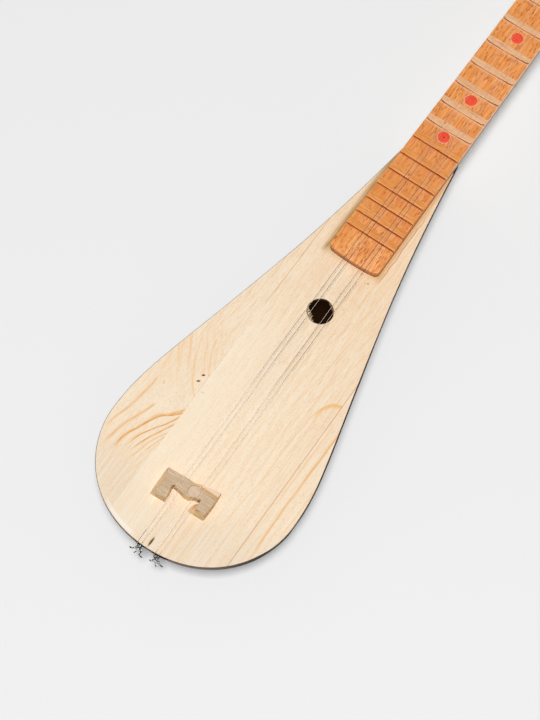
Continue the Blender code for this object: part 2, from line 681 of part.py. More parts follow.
def string_route(string):
    """Route of one taut string from its loop on the tail pin to its peg."""
    side = 1 if string % 2 == 0 else -1
    pin_y = course_centres_at_bridge()[0 if string < 2 else 1]
    pin_z = TOP_Z - PIN_DEPTH_BELOW_TOP
    plane_x = TAIL_X - LOOP_PLANES[string % 2]
    loop_radius = PIN_RADIUS + GAP + STRING_RADIUS
    down_y = pin_y + side * loop_radius
    over = GAP + STRING_RADIUS
    loop = []
    for i in range(9):
        angle = pi * i / 8
        loop.append((plane_x, pin_y - side * loop_radius * cos(angle), pin_z - loop_radius * sin(angle)))
    tail = [
        (plane_x, pin_y + side * loop_radius * 0.35, pin_z + TAIL_END_RISE),
        (plane_x, pin_y - side * loop_radius * 0.55, pin_z + TAIL_BEND_RISE),
    ]
    rise = [
        (plane_x, down_y, TOP_Z - EDGE_BEND * 3),
        (plane_x + EDGE_BEND / 3, down_y, TOP_Z - EDGE_BEND),
        (TAIL_X - LOOP_PLANES[string % 2] * 0.35, down_y, TOP_Z + over * 0.75),
        (TAIL_X + EDGE_BEND * 2, down_y, TOP_Z + over * 1.2),
    ]
    bridge_y = string_y(string, False)
    bridge_z = BRIDGE_TOP_Z + STRING_OVER_NOTCH
    low, high = bridge_span(bridge_y)
    nut_z = string_height_at_nut()
    nut_y = string_y(string, True)
    front_share = (high - low) / (NUT_X - low)
    over_bridge = [
        (low - GAP, bridge_y, bridge_z),
        (high, bridge_y + (nut_y - bridge_y) * front_share, bridge_z + (nut_z - bridge_z) * front_share),
    ]
    over_nut = [(NUT_X, nut_y, nut_z), (NUT_X + NUT_THICKNESS * 0.8, nut_y, nut_z)]
    index = PEG_FOR_STRING[string]
    place = pegbox_matrix()
    axis = Vector((peg_place(index), 0.0, -PEG_AXIS_DEPTH))
    touch = axis + winding_point(index, 0.0)
    leave = nut_string_in_pegbox(string)
    clear = WINDING_RADIUS + 2 * STRING_RADIUS + GAP
    stop = sqrt(clear ** 2 - WINDING_RADIUS ** 2)
    end = touch + (leave - touch).normalized() * stop
    to_peg = [tuple(place @ (leave + Vector((2 * GAP, 0.0, -GAP / 2)))), tuple(place @ end)]
    return tail + loop + rise + over_bridge + over_nut + to_peg


def bridge_span(y):
    """Where a line along X at this place across enters and leaves the bridge."""
    crossings = []
    corners = bridge_corners()
    for (x0, y0), (x1, y1) in zip(corners, corners[1:] + corners[:1]):
        if (y0 - y) * (y1 - y) < 0:
            crossings.append(x0 + (x1 - x0) * (y - y0) / (y1 - y0))
    return min(crossings), max(crossings)


def bridge_corners():
    """The bridge's plan on the soundboard."""
    return [(BRIDGE_X + x, STRING_CENTRE_AT_BRIDGE + y) for x, y in BRIDGE_PLAN]


def make_bridge(material):
    """Loose bridge with two legs behind, held down by the strings."""
    corners = bridge_corners()
    source = bmesh.new()
    top = extrude_outline(source, corners, TOP_Z + GAP, BRIDGE_TOP_Z)
    middle = sum((vert.co for vert in top), Vector()) / len(top)
    bmesh.ops.scale(
        source, verts=top, vec=(BRIDGE_TOP_SHARE, BRIDGE_TOP_SHARE, 1.0), space=Matrix.Translation(-middle))
    bridge = add_object("bridge", source, material)
    notches = bmesh.new()
    low_x = min(x for x, y in corners) - BRIDGE_HEIGHT
    high_x = max(x for x, y in corners) + BRIDGE_HEIGHT
    for string in range(4):
        y = string_y(string, False)
        add_box(
            notches, (low_x, y - NOTCH_HALF_WIDTH, BRIDGE_TOP_Z - NOTCH_DEPTH),
            (high_x, y + NOTCH_HALF_WIDTH, BRIDGE_TOP_Z + BRIDGE_HEIGHT))
    cut(bridge, add_cutter("bridge_notches", notches))
    return bridge


def make_nut(material):
    """Bar across the neck with four string notches."""
    half_width = neck_half_width(NUT_X)
    outline = [(-half_width, TOP_Z + GAP), (half_width, TOP_Z + GAP), (half_width, NUT_TOP_Z)]
    for string in range(4):
        y = string_y(string, True)
        outline += [
            (y + NOTCH_HALF_WIDTH, NUT_TOP_Z), (y + NOTCH_HALF_WIDTH, NUT_TOP_Z - NOTCH_DEPTH),
            (y - NOTCH_HALF_WIDTH, NUT_TOP_Z - NOTCH_DEPTH), (y - NOTCH_HALF_WIDTH, NUT_TOP_Z),
        ]
    outline.append((-half_width, NUT_TOP_Z))
    source = bmesh.new()
    rings = [[(x, y, z) for y, z in outline] for x in (NUT_X + GAP, NUT_X + NUT_THICKNESS)]
    loft(source, rings)
    return add_object("nut", source, material)


def fret_x(number):
    """Place of a fret's sharp edge, each one twelfth of an octave from the next."""
    return OPEN_LINE_X + SCALE_LENGTH * 2 ** (-number / 12)


def dot_x(number):
    """Middle of the space in front of a fret, where its dot is let in."""
    return (fret_x(number) + FRET_WIDTH + fret_x(number - 1)) / 2


def make_fingerboard(material):
    """Tapered board on the neck and the soundboard, with a seat for each fret and dot."""
    end = FINGERBOARD_END_X
    half_end = neck_half_width(end)
    corner = FINGERBOARD_CORNER
    outline = []
    for i in range(5):
        angle = pi / 2 * i / 4
        outline.append((end + corner * (1 - cos(angle)), half_end - corner * (1 - sin(angle))))
    outline.append((NUT_X - GAP, NUT_HALF_WIDTH))
    outline += [(x, -y) for x, y in reversed(outline)]
    outline.append((end - FINGERBOARD_END_BOW, 0.0))
    source = bmesh.new()
    extrude_outline(source, outline, TOP_Z + GAP, FINGERBOARD_TOP_Z)
    board = add_object("fingerboard", source, material, radians(40))
    seats = bmesh.new()
    for number in range(1, FRET_COUNT + 1):
        x = fret_x(number)
        add_box(
            seats, (x - GAP, -half_end * 2, FINGERBOARD_TOP_Z - FRET_SEAT_DEPTH),
            (x + FRET_WIDTH + GAP, half_end * 2, FINGERBOARD_TOP_Z + FINGERBOARD_HEIGHT))
    cut(board, add_cutter("fret_seats", seats))
    pockets = bmesh.new()
    for number in DOT_FRETS:
        low = FINGERBOARD_TOP_Z - DOT_THICKNESS - GAP
        high = FINGERBOARD_TOP_Z + FINGERBOARD_HEIGHT
        add_rod(
            pockets, (dot_x(number), 0.0, low), (dot_x(number), 0.0, high), DOT_RADIUS + GAP,
            DOT_RADIUS + GAP)
    cut(board, add_cutter("dot_pockets", pockets))
    return board


def make_fret(number, material):
    """Wooden wedge: a sharp step towards the bridge, sloping down to the board behind."""
    x = fret_x(number)
    low = FINGERBOARD_TOP_Z - FRET_SEAT_DEPTH + GAP
    profile = [
        (x, low), (x + FRET_WIDTH, low), (x + FRET_WIDTH, FINGERBOARD_TOP_Z),
        (x + FRET_CREST_BACK, FINGERBOARD_TOP_Z + FRET_RISE), (x, FINGERBOARD_TOP_Z + FRET_FRONT_RISE),
    ]
    source = bmesh.new()
    rings = []
    for side in (-1, 1):
        rings.append([(px, side * (neck_half_width(px) - FRET_SIDE_MARGIN), pz) for px, pz in profile])
    loft(source, rings)
    return add_object(f"fret_{number:02d}", source, material)


def make_dot(number, material):
    """Round marker let in flush with the fingerboard."""
    source = bmesh.new()
    x = dot_x(number)
    low = FINGERBOARD_TOP_Z - DOT_THICKNESS
    add_rod(source, (x, 0.0, low), (x, 0.0, FINGERBOARD_TOP_Z), DOT_RADIUS, DOT_RADIUS)
    return add_object(f"dot_{number:02d}", source, material, radians(40))


def make_tail_pin(name, y, material):
    """Pin in the tail block that two strings are looped on."""
    z = TOP_Z - PIN_DEPTH_BELOW_TOP
    head = TAIL_X - PIN_STANDOUT
    profile = [
        (0.0, head), (PIN_HEAD_RADIUS * 0.7, head), (PIN_HEAD_RADIUS, head + PIN_HEAD_LENGTH * 0.5),
        (PIN_HEAD_RADIUS, head + PIN_HEAD_LENGTH), (PIN_RADIUS, head + PIN_HEAD_LENGTH),
        (PIN_RADIUS, TAIL_X + PIN_BURIED), (0.0, TAIL_X + PIN_BURIED),
    ]
    source = bmesh.new()
    chain = [source.verts.new((x, radius, 0.0)) for radius, x in profile]
    edges = [source.edges.new(pair) for pair in zip(chain, chain[1:])]
    bmesh.ops.spin(
        source, geom=chain + edges, cent=(0.0, 0.0, 0.0), axis=(1.0, 0.0, 0.0), angle=2 * pi,
        steps=12, use_merge=True, use_duplicate=False)
    bmesh.ops.remove_doubles(source, verts=source.verts, dist=1e-6)
    bmesh.ops.translate(source, verts=source.verts, vec=(0.0, y, z))
    return add_object(name, source, material, radians(40))


def build():
    """Make every piece of the instrument."""
    clear_scene()
    dark_wood = make_material("dark_bowl_wood", (0.055, 0.028, 0.018), 0.42)
    pine = make_material("soundboard_pine", (0.86, 0.70, 0.50), 0.55)
    brace_wood = make_material("brace_pine", (0.72, 0.56, 0.38), 0.7)
    neck_wood = make_material("neck_maple", (0.62, 0.47, 0.32), 0.5)
    board_wood = make_material("fingerboard_beech", (0.72, 0.31, 0.10), 0.45)
    fret_wood = make_material("fret_beech", (0.74, 0.35, 0.10), 0.4)
    pale_fret_wood = make_material("pale_fret_beech", (0.72, 0.47, 0.26), 0.5)
    bridge_wood = make_material("bridge_wood", (0.55, 0.46, 0.35), 0.7)
    peg_wood = make_material("peg_wood", (0.09, 0.04, 0.02), 0.35)
    red = make_material("red_marker", (0.75, 0.09, 0.04), 0.35)
    steel = make_material("string_steel", (0.55, 0.55, 0.56), 0.3, 1.0)

    make_bowl(dark_wood)
    make_soundboards(pine)
    make_braces(brace_wood)
    make_neck(neck_wood)
    make_fingerboard(board_wood)
    for number in range(1, FRET_COUNT + 1):
        make_fret(number, fret_wood if number >= 12 else pale_fret_wood)
    for number in DOT_FRETS:
        make_dot(number, red)
    make_nut(bridge_wood)
    make_bridge(bridge_wood)
    for name, y in zip(("tail_pin_left", "tail_pin_right"), course_centres_at_bridge()):
        make_tail_pin(name, y, steel)
    for index, side in enumerate(peg_sides()):
        peg = make_peg(index, side, peg_wood)
        make_winding(index, peg, steel)
    for string in range(4):
        make_tube(f"string_{string + 1}", string_route(string), TUBE_RESOLUTION, steel)


build()
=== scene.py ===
# %% [markdown]
# # A tanbur on a pale floor
# This lesson dresses a long-necked lute. The wooden frame of the instrument comes in ready made,
# with every piece at its real size and in its real place. What is left is what the eye reads:
# smooth carved shapes, the finish of each wood, the wire, and the soft light of a studio.

# %% Load the frame
from math import asin, atan2, cos, hypot, log, pi, radians, sin, sqrt

import bmesh
import bpy
from mathutils import Matrix, Vector
from mathutils.geometry import interpolate_bezier


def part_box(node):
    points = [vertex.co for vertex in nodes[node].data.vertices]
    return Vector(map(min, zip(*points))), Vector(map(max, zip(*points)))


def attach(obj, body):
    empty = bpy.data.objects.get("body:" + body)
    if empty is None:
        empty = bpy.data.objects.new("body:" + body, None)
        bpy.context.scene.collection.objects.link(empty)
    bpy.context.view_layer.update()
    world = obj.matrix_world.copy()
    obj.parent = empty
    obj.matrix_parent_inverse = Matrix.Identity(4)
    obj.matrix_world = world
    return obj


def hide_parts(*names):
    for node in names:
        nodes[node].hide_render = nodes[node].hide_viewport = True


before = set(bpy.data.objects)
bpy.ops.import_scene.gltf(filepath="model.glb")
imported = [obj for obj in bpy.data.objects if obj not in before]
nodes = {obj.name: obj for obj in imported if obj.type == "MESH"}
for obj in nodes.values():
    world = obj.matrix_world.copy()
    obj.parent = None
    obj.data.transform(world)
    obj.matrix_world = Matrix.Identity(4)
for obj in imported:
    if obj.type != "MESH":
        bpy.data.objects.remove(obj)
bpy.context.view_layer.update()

# %% [markdown]
# A photograph's colours are written for a screen, and Blender's sockets want the amount of light.
# The helper turns the first into the second, so every colour below can be written as it is seen.


# %% Colours as they are seen
def seen(red, green, blue):
    """A screen colour from 0 to 255 as linear light."""
    channels = []
    for channel in (red, green, blue):
        share = channel / 255
        channels.append(share / 12.92 if share <= 0.04045 else ((share + 0.055) / 1.055) ** 2.4)
    return (*channels, 1.0)


print("the floor's grey as light:", [round(value, 3) for value in seen(239, 239, 239)])

# %% [markdown]
# Wood is a sum of simple patterns: rings, fibres, flecks, wear. Written as node links this soon
# turns into a knot, so a socket is wrapped in a small class and Python's own operators add the
# Math nodes. Everything that isn't arithmetic goes through one method.


# %% Shader maths as expressions
class Socket:
    """An output of a node that can be added, multiplied and compared like a number."""

    def __init__(self, tree, output):
        self.tree = tree
        self.output = output

    def node(self, kind, settings, inputs, output=0):
        """Add a node: its settings first, then the values or links of its sockets."""
        made = self.tree.nodes.new(kind)
        for name, setting in settings.items():
            setattr(made, name, setting)
        for name, value in inputs.items():
            if isinstance(value, Socket):
                self.tree.links.new(value.output, made.inputs[name])
            else:
                made.inputs[name].default_value = value
        return Socket(self.tree, made.outputs[output])

    def maths(self, operation, *values):
        return self.node("ShaderNodeMath", {"operation": operation}, dict(enumerate(values)))

    def __add__(self, other):
        return self.maths("ADD", self, other)

    __radd__ = __add__

    def __sub__(self, other):
        return self.maths("SUBTRACT", self, other)

    def __rsub__(self, other):
        return self.maths("SUBTRACT", other, self)

    def __mul__(self, other):
        return self.maths("MULTIPLY", self, other)

    __rmul__ = __mul__

    def __truediv__(self, other):
        return self.maths("DIVIDE", self, other)

    def __rtruediv__(self, other):
        return self.maths("DIVIDE", other, self)

    def __abs__(self):
        return self.maths("ABSOLUTE", self)

    def root(self):
        return self.maths("SQRT", self)

    def fraction(self):
        return self.maths("FRACT", self)

    def rise(self, low, high):
        """0 below low, 1 above high, smooth between; high under low turns it round."""
        limits = {"Value": self, "From Min": low, "From Max": high}
        return self.node("ShaderNodeMapRange", {"interpolation_type": "SMOOTHSTEP"}, limits)

    def bell(self, middle, width):
        """1 at the middle, fading to 0 a width away on both sides."""
        return abs(self - middle).rise(width, 0.0)


def start_material(name):
    """An empty material, its place on the piece, and its shader."""
    material = bpy.data.materials.new(name)
    material.use_nodes = True
    tree = material.node_tree
    shader = tree.nodes["Principled BSDF"]
    place = Socket(tree, tree.nodes.new("ShaderNodeTexCoord").outputs["Object"])
    return material, place, shader


def split(place):
    """The three coordinates of a place as separate numbers, in metres."""
    parts = place.node("ShaderNodeSeparateXYZ", {}, {0: place}).output.node
    return [Socket(place.tree, parts.outputs[i]) for i in range(3)]


def stretch(place, along, across, up):
    """The place scaled by a number for each direction, so that a pattern gets longer or finer."""
    return place.node("ShaderNodeVectorMath", {"operation": "MULTIPLY"}, {0: place, 1: (along, across, up)})


def noise(place, detail=2.0, roughness=0.5):
    """Cloudy numbers round 0.5."""
    values = {"Vector": place, "Scale": 1.0, "Detail": detail, "Roughness": roughness}
    return place.node("ShaderNodeTexNoise", {}, values)


def blend(factor, first, second):
    """Mix two colours."""
    settings = {"data_type": "RGBA", "clamp_factor": True}
    return factor.node("ShaderNodeMix", settings, {0: factor, 6: first, 7: second}, 2)


def finish(shader, colour, roughness, bump=None, depth=0.0):
    """Join the finished patterns to the shader."""
    links = colour.tree.links
    links.new(colour.output, shader.inputs["Base Color"])
    if isinstance(roughness, Socket):
        links.new(roughness.output, shader.inputs["Roughness"])
    else:
        shader.inputs["Roughness"].default_value = roughness
    if bump is not None:
        raised = bump.node("ShaderNodeBump", {}, {"Height": bump, "Distance": depth, "Strength": 1.0})
        links.new(raised.output, shader.inputs["Normal"])


print("shader helpers are ready")

# %% [markdown]
# The camera stands where the photographer stood: high above the bowl, turned so that the neck
# runs up to the right and out of the picture. Its place was worked out from the fret spacing.

# %% Camera
CAMERA_PLACE = Vector((-0.3942, -0.2681, 1.3355))
CAMERA_TARGET = Vector((0.0, 0.00672, 0.046))
camera_data = bpy.data.cameras.new("camera")
camera_data.lens = 91.74
camera_data.sensor_width = 36.0
camera = bpy.data.objects.new("camera", camera_data)
camera.location = CAMERA_PLACE
camera.rotation_euler = (CAMERA_TARGET - CAMERA_PLACE).to_track_quat("-Z", "Y").to_euler()
bpy.context.scene.collection.objects.link(camera)
bpy.context.scene.camera = camera
bpy.context.scene.view_settings.view_transform = "Standard"
print("camera to target:", round((CAMERA_TARGET - CAMERA_PLACE).length, 3), "m")

# %% [markdown]
# The studio is a sheet of pale paper under one big soft lamp, high up and a little to the left,
# with an even sky round it. The lamp gives the short soft shadow along the right side of the
# bowl. A wide floor next to a tall rounded side also gets a broad grey cloud from the sky that
# the bowl hides, far wider than the one in the photograph, where the paper is nearly even. So the
# paper that the camera sees is partly lit from itself: it keeps the shadow, only fainter.

# %% Floor paper
PAPER_GREY = seen(239, 239, 239)
FLOOR_HALF = 8.0
PAPER_GLOW_SHARE = 0.30


def shown_rays(tree):
    """1 for rays that the camera sees, straight or through a gloss, and 0 for light that bounces."""
    path = tree.nodes.new("ShaderNodeLightPath")
    rays = [Socket(tree, path.outputs[name]) for name in ("Is Camera Ray", "Is Glossy Ray", "Is Transmission Ray")]
    return rays[0].maths("MAXIMUM", rays[0].maths("MAXIMUM", rays[0], rays[1]), rays[2])


floor_source = bmesh.new()
bmesh.ops.create_grid(floor_source, x_segments=1, y_segments=1, size=FLOOR_HALF)
floor_mesh = bpy.data.meshes.new("floor")
floor_source.to_mesh(floor_mesh)
floor_source.free()
floor = bpy.data.objects.new("floor", floor_mesh)
bpy.context.scene.collection.objects.link(floor)
floor_material, _, paper = start_material("floor_paper")
paper.inputs["Base Color"].default_value = PAPER_GREY
paper.inputs["Roughness"].default_value = 0.9
paper.inputs["Specular IOR Level"].default_value = 0.0
floor_tree = floor_material.node_tree
shown = shown_rays(floor_tree)
glow = shown.node("ShaderNodeEmission", {}, {"Color": PAPER_GREY, "Strength": 1.0})
matte = Socket(floor_tree, paper.outputs["BSDF"])
lit_paper = shown.node("ShaderNodeMixShader", {}, {0: shown * PAPER_GLOW_SHARE, 1: matte, 2: glow})
floor_tree.links.new(lit_paper.output, floor_tree.nodes["Material Output"].inputs["Surface"])
floor_mesh.materials.append(floor_material)
print("paper", 2 * FLOOR_HALF, "m wide")

# %% Sky and lamp
SKY_SHARE = 0.13
LAMP_PLACE = Vector((-0.70, -0.46, 4.0))
LAMP_SIZE = 0.85
LAMP_POWER = 149.0

world = bpy.data.worlds.new("studio")
bpy.context.scene.world = world
world.use_nodes = True
sky = world.node_tree.nodes["Background"]
backdrop = shown_rays(world.node_tree)
sky_light = (SKY_SHARE, SKY_SHARE, SKY_SHARE * 1.02, 1.0)
sky_colour = blend(backdrop, sky_light, PAPER_GREY)
world.node_tree.links.new(sky_colour.output, sky.inputs["Color"])

lamp_data = bpy.data.lights.new("soft_lamp", "AREA")
lamp_data.size = LAMP_SIZE
lamp_data.energy = LAMP_POWER
lamp = bpy.data.objects.new("soft_lamp", lamp_data)
lamp.location = LAMP_PLACE
lamp.rotation_euler = (Vector((0.0, 0.0, 0.0)) - LAMP_PLACE).to_track_quat("-Z", "Y").to_euler()
bpy.context.scene.collection.objects.link(lamp)
print("lamp", round(LAMP_PLACE.length, 2), "m from the bowl")

# %% [markdown]
# The maker's sizes come next. The outline of the bowl is drawn with three curves on each side,
# the fingerboard narrows evenly up to the nut, and each fret is a twelfth of an octave from the
# next. Everything that is modelled below is worked out from these.

# %% Sizes of the body and the neck
TAIL_X = -0.170
WIDEST_X = -0.096
SHOULDER_X = 0.071
JOINT_X = 0.217
BODY_HALF_WIDTH = 0.0811
SHOULDER_HALF_WIDTH = 0.0469
LEFT_SEAM_Y = 0.0358
RIGHT_SEAM_Y = -0.0586
HOLE_PLACE = (0.054, -0.0020)
HOLE_RADIUS = 0.0105
OPEN_LINE_X = -0.0965
STRING_LENGTH = 0.624
NUT_X = OPEN_LINE_X + STRING_LENGTH
NUT_HALF_WIDTH = 0.0182
BOARD_TAPER = 0.0189
GAP = 0.0003
TOP_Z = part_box("soundboard_centre")[1].z
BOARD_LOW_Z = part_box("soundboard_centre")[0].z
RIM_Z = BOARD_LOW_Z - GAP
FRET_COUNT = 18


def neck_half_width(x):
    """Half the width of the fingerboard and the neck at a place along them."""
    return NUT_HALF_WIDTH + (NUT_X - x) * BOARD_TAPER / 2


def fret_x(number):
    """Place of a fret's sharp edge."""
    return OPEN_LINE_X + STRING_LENGTH * 2 ** (-number / 12)


print("fret 12 at", round(fret_x(12) * 1000, 1), "mm, top of the soundboard at", round(TOP_Z * 1000, 1))


# %% Outline of the bowl
def curve_points(start, start_handle, end_handle, end, count):
    """Points on one curve, without its last one."""
    knots = [Vector((*point, 0.0)) for point in (start, start_handle, end_handle, end)]
    return [(point.x, point.y) for point in interpolate_bezier(*knots, count + 1)[:-1]]


def half_outline(tail_count, side_count, shoulder_count):
    """Left half of the body's outline, from the tail's tip to the neck joint."""
    widest = (WIDEST_X, BODY_HALF_WIDTH)
    shoulder = Vector((SHOULDER_X, SHOULDER_HALF_WIDTH))
    slope = Vector((1.0, -0.229)).normalized()
    joint = (JOINT_X, neck_half_width(JOINT_X))
    points = curve_points(
        (TAIL_X, 0.0), (TAIL_X, 0.053), (WIDEST_X - 0.035, BODY_HALF_WIDTH), widest, tail_count)
    points += curve_points(
        widest, (WIDEST_X + 0.040, BODY_HALF_WIDTH), shoulder - slope * 0.111, shoulder, side_count)
    points += curve_points(
        shoulder, shoulder + slope * 0.029, (JOINT_X - 0.081, joint[1] + 0.081 * 0.138), joint,
        shoulder_count)
    return points + [joint]


side_line = half_outline(60, 50, 30)


def body_half_width(x):
    """Half the body's width at a place along it."""
    for (x0, y0), (x1, y1) in zip(side_line, side_line[1:]):
        if x0 <= x <= x1:
            return y0 + (y1 - y0) * (x - x0) / max(x1 - x0, 1e-9)
    return side_line[-1][1]


def tail_edge_x(y):
    """Place of the body's edge at the tail for a distance from the middle line."""
    for (x0, y0), (x1, y1) in zip(side_line, side_line[1:]):
        if y0 <= abs(y) <= y1:
            return x0 + (x1 - x0) * (abs(y) - y0) / (y1 - y0)
    return side_line[0][0]


print("outline of", len(side_line), "points on each side")

# %% [markdown]
# Every finished piece goes through one function. It turns a bmesh into an object at the origin,
# shades it smooth except at its real edges, lets it ride on a body of the frame, and hides the
# node of the frame it stands for.


# %% Finished pieces
def add_piece(name, source, materials, body, stands_for=(), sharp=35.0):
    """A piece of the instrument from a bmesh."""
    mesh = bpy.data.meshes.new(name)
    source.to_mesh(mesh)
    source.free()
    for material in materials:
        mesh.materials.append(material)
    mesh.shade_smooth()
    mesh.set_sharp_from_angle(angle=radians(sharp))
    made = bpy.data.objects.new(name, mesh)
    bpy.context.scene.collection.objects.link(made)
    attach(made, body)
    if stands_for:
        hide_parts(*stands_for)
    return made


def carve(source, cutter, operation="DIFFERENCE"):
    """The first shape with the second cut out of it, or joined to it, as a new bmesh."""
    blocks = []
    for name, shape in (("block", source), ("cutter", cutter)):
        mesh = bpy.data.meshes.new(name)
        shape.to_mesh(mesh)
        shape.free()
        blocks.append(bpy.data.objects.new(name, mesh))
        bpy.context.scene.collection.objects.link(blocks[-1])
    modifier = blocks[0].modifiers.new("cut", "BOOLEAN")
    modifier.operation = operation
    modifier.object = blocks[1]
    modifier.use_self = False
    result = bmesh.new()
    result.from_object(blocks[0], bpy.context.evaluated_depsgraph_get())
    for block in blocks:
        bpy.data.objects.remove(block)
    return result


def loft(rings):
    """A closed body through closed rings of points: a grid is rolled up and its ends are filled."""
    count = len(rings[0])
    source = bmesh.new()
    bmesh.ops.create_grid(source, x_segments=len(rings) - 1, y_segments=count, size=1.0)
    for vert in source.verts:
        ring = rings[round((vert.co.x + 1.0) / 2 * (len(rings) - 1))]
        vert.co = ring[round((vert.co.y + 1.0) / 2 * count) % count]
    bmesh.ops.remove_doubles(source, verts=source.verts, dist=1e-6)
    bmesh.ops.holes_fill(source, edges=source.edges, sides=0)
    bmesh.ops.recalc_face_normals(source, faces=source.faces)
    return source


def add_rod(source, start, end, start_radius, end_radius, sides=32):
    """Add a closed cone or cylinder between two points to a bmesh."""
    run = Vector(end) - Vector(start)
    turn = run.to_track_quat("Z", "Y").to_matrix().to_4x4()
    bmesh.ops.create_cone(
        source, cap_ends=True, segments=sides, radius1=start_radius, radius2=end_radius,
        depth=run.length, matrix=Matrix.Translation(Vector(start) + run / 2) @ turn)


def add_box(source, low, high):
    """Add a box between two corners to a bmesh and return its vertices."""
    size = [b - a for a, b in zip(low, high)]
    middle = [(a + b) / 2 for a, b in zip(low, high)]
    matrix = Matrix.Translation(middle) @ Matrix.Diagonal((*size, 1.0))
    return bmesh.ops.create_cube(source, size=1.0, matrix=matrix)["verts"]


def plate(outline, low_z, high_z):
    """A flat plate with this outline between two heights."""
    source = bmesh.new()
    face = source.faces.new([source.verts.new((x, y, low_z)) for x, y in outline])
    raised = bmesh.ops.extrude_face_region(source, geom=[face])["geom"]
    moved = [item for item in raised if isinstance(item, bmesh.types.BMVert)]
    bmesh.ops.translate(source, verts=moved, vec=(0.0, 0.0, high_z - low_z))
    bmesh.ops.recalc_face_normals(source, faces=source.faces)
    return source


def soften(source, edges, offset, segments=2):
    """Round some edges of a bmesh."""
    bmesh.ops.bevel(
        source, geom=edges, offset=offset, segments=segments, profile=0.5, affect="EDGES", material=-1)


print("modelling helpers are ready")

# %% [markdown]
# Pine shows its growth rings as thin orange lines with a soft side, the spring wood, and a sharp
# side. A noise or a family of circles can't give the lines of one certain board, which start and
# end where its branches grew, so each bold line is drawn one by one: a curve node gives the height of
# the line for every place along the board, and the distance from it gives the colour. Between the
# bold lines lie faint rings, and over everything lie fine fibres and pores.

# %% Pine
PINE_PALE = seen(245, 228, 203)
PINE_WARM = seen(240, 211, 176)
PINE_LINE = seen(241, 192, 127)
PINE_CORE = seen(219, 153, 79)
PINE_FIBRE = seen(222, 172, 118)
PINE_LIGHT = seen(253, 245, 230)
PINE_PORE = seen(220, 182, 146)
STAIN_DARK = seen(52, 38, 33)
GREASE_AND_SHADOW = seen(184, 146, 84)
BURNT_WALL = seen(88, 60, 38)
KNOT_BROWN = seen(112, 58, 20)
SEAM_BROWN = seen(214, 160, 96)
BOARD_EDGE = 0.00050
HOLE_CLEAR = 0.0165


def drawn(x, points):
    """Height of a line drawn through points, for every place along the board."""
    low, high = points[0][0], points[-1][0]
    bottom = min(y for _, y in points) - 0.0001
    rise = max(y for _, y in points) + 0.0001 - bottom
    made = x.node("ShaderNodeFloatCurve", {}, {"Value": (x - low) / (high - low)})
    drawing = made.output.node.mapping
    curve = drawing.curves[0]
    for _ in points[2:]:
        curve.points.new(0.5, 0.5)
    for knot, (along, across) in zip(curve.points, points):
        knot.location = ((along - low) / (high - low), (across - bottom) / rise)
    drawing.update()
    return made * rise + bottom


def grain_line(x, y, line):
    """One growth line: how strong, how wide its soft side and its sharp side, and its points in mm."""
    strength, soft, sharp, points = line
    points = [(along / 1000, across / 1000) for along, across in points]
    offset = y - drawn(x, points)
    length = points[-1][0] - points[0][0]
    from_seam = abs(points[0][1] - LEFT_SEAM_Y) < 0.0015
    start = points[0][0] + length * (0.03 if from_seam else 0.30)
    ends = x.rise(points[0][0], start) * x.rise(points[-1][0], points[-1][0] - length * 0.08)
    return offset.rise(soft / 1000, 0.0) * offset.rise(-sharp / 1000, 0.0) * ends * strength


def spot(x, y, middle, size, slant=0.0):
    """An oval spot: 1 in its middle, 0 at its edge."""
    along = (x - middle[0] + (y - middle[1]) * slant) / size[0]
    across = (y - middle[1] - (x - middle[0]) * slant) / size[1]
    return (along * along + across * across).root().rise(1.0, 0.35)


def bleached(x, y, colour):
    """A pale rubbed band just inside the edge, left of the tail."""
    across = [0.004 * i for i in range(1, 15)]
    inside = abs(x - drawn(y, [(place, tail_edge_x(place) + 0.0026) for place in across]))
    band = inside.rise(0.0022, 0.0006) * y.rise(0.008, 0.016) * y.rise(0.048, 0.034)
    return blend(band * 0.5, colour, seen(250, 245, 240))


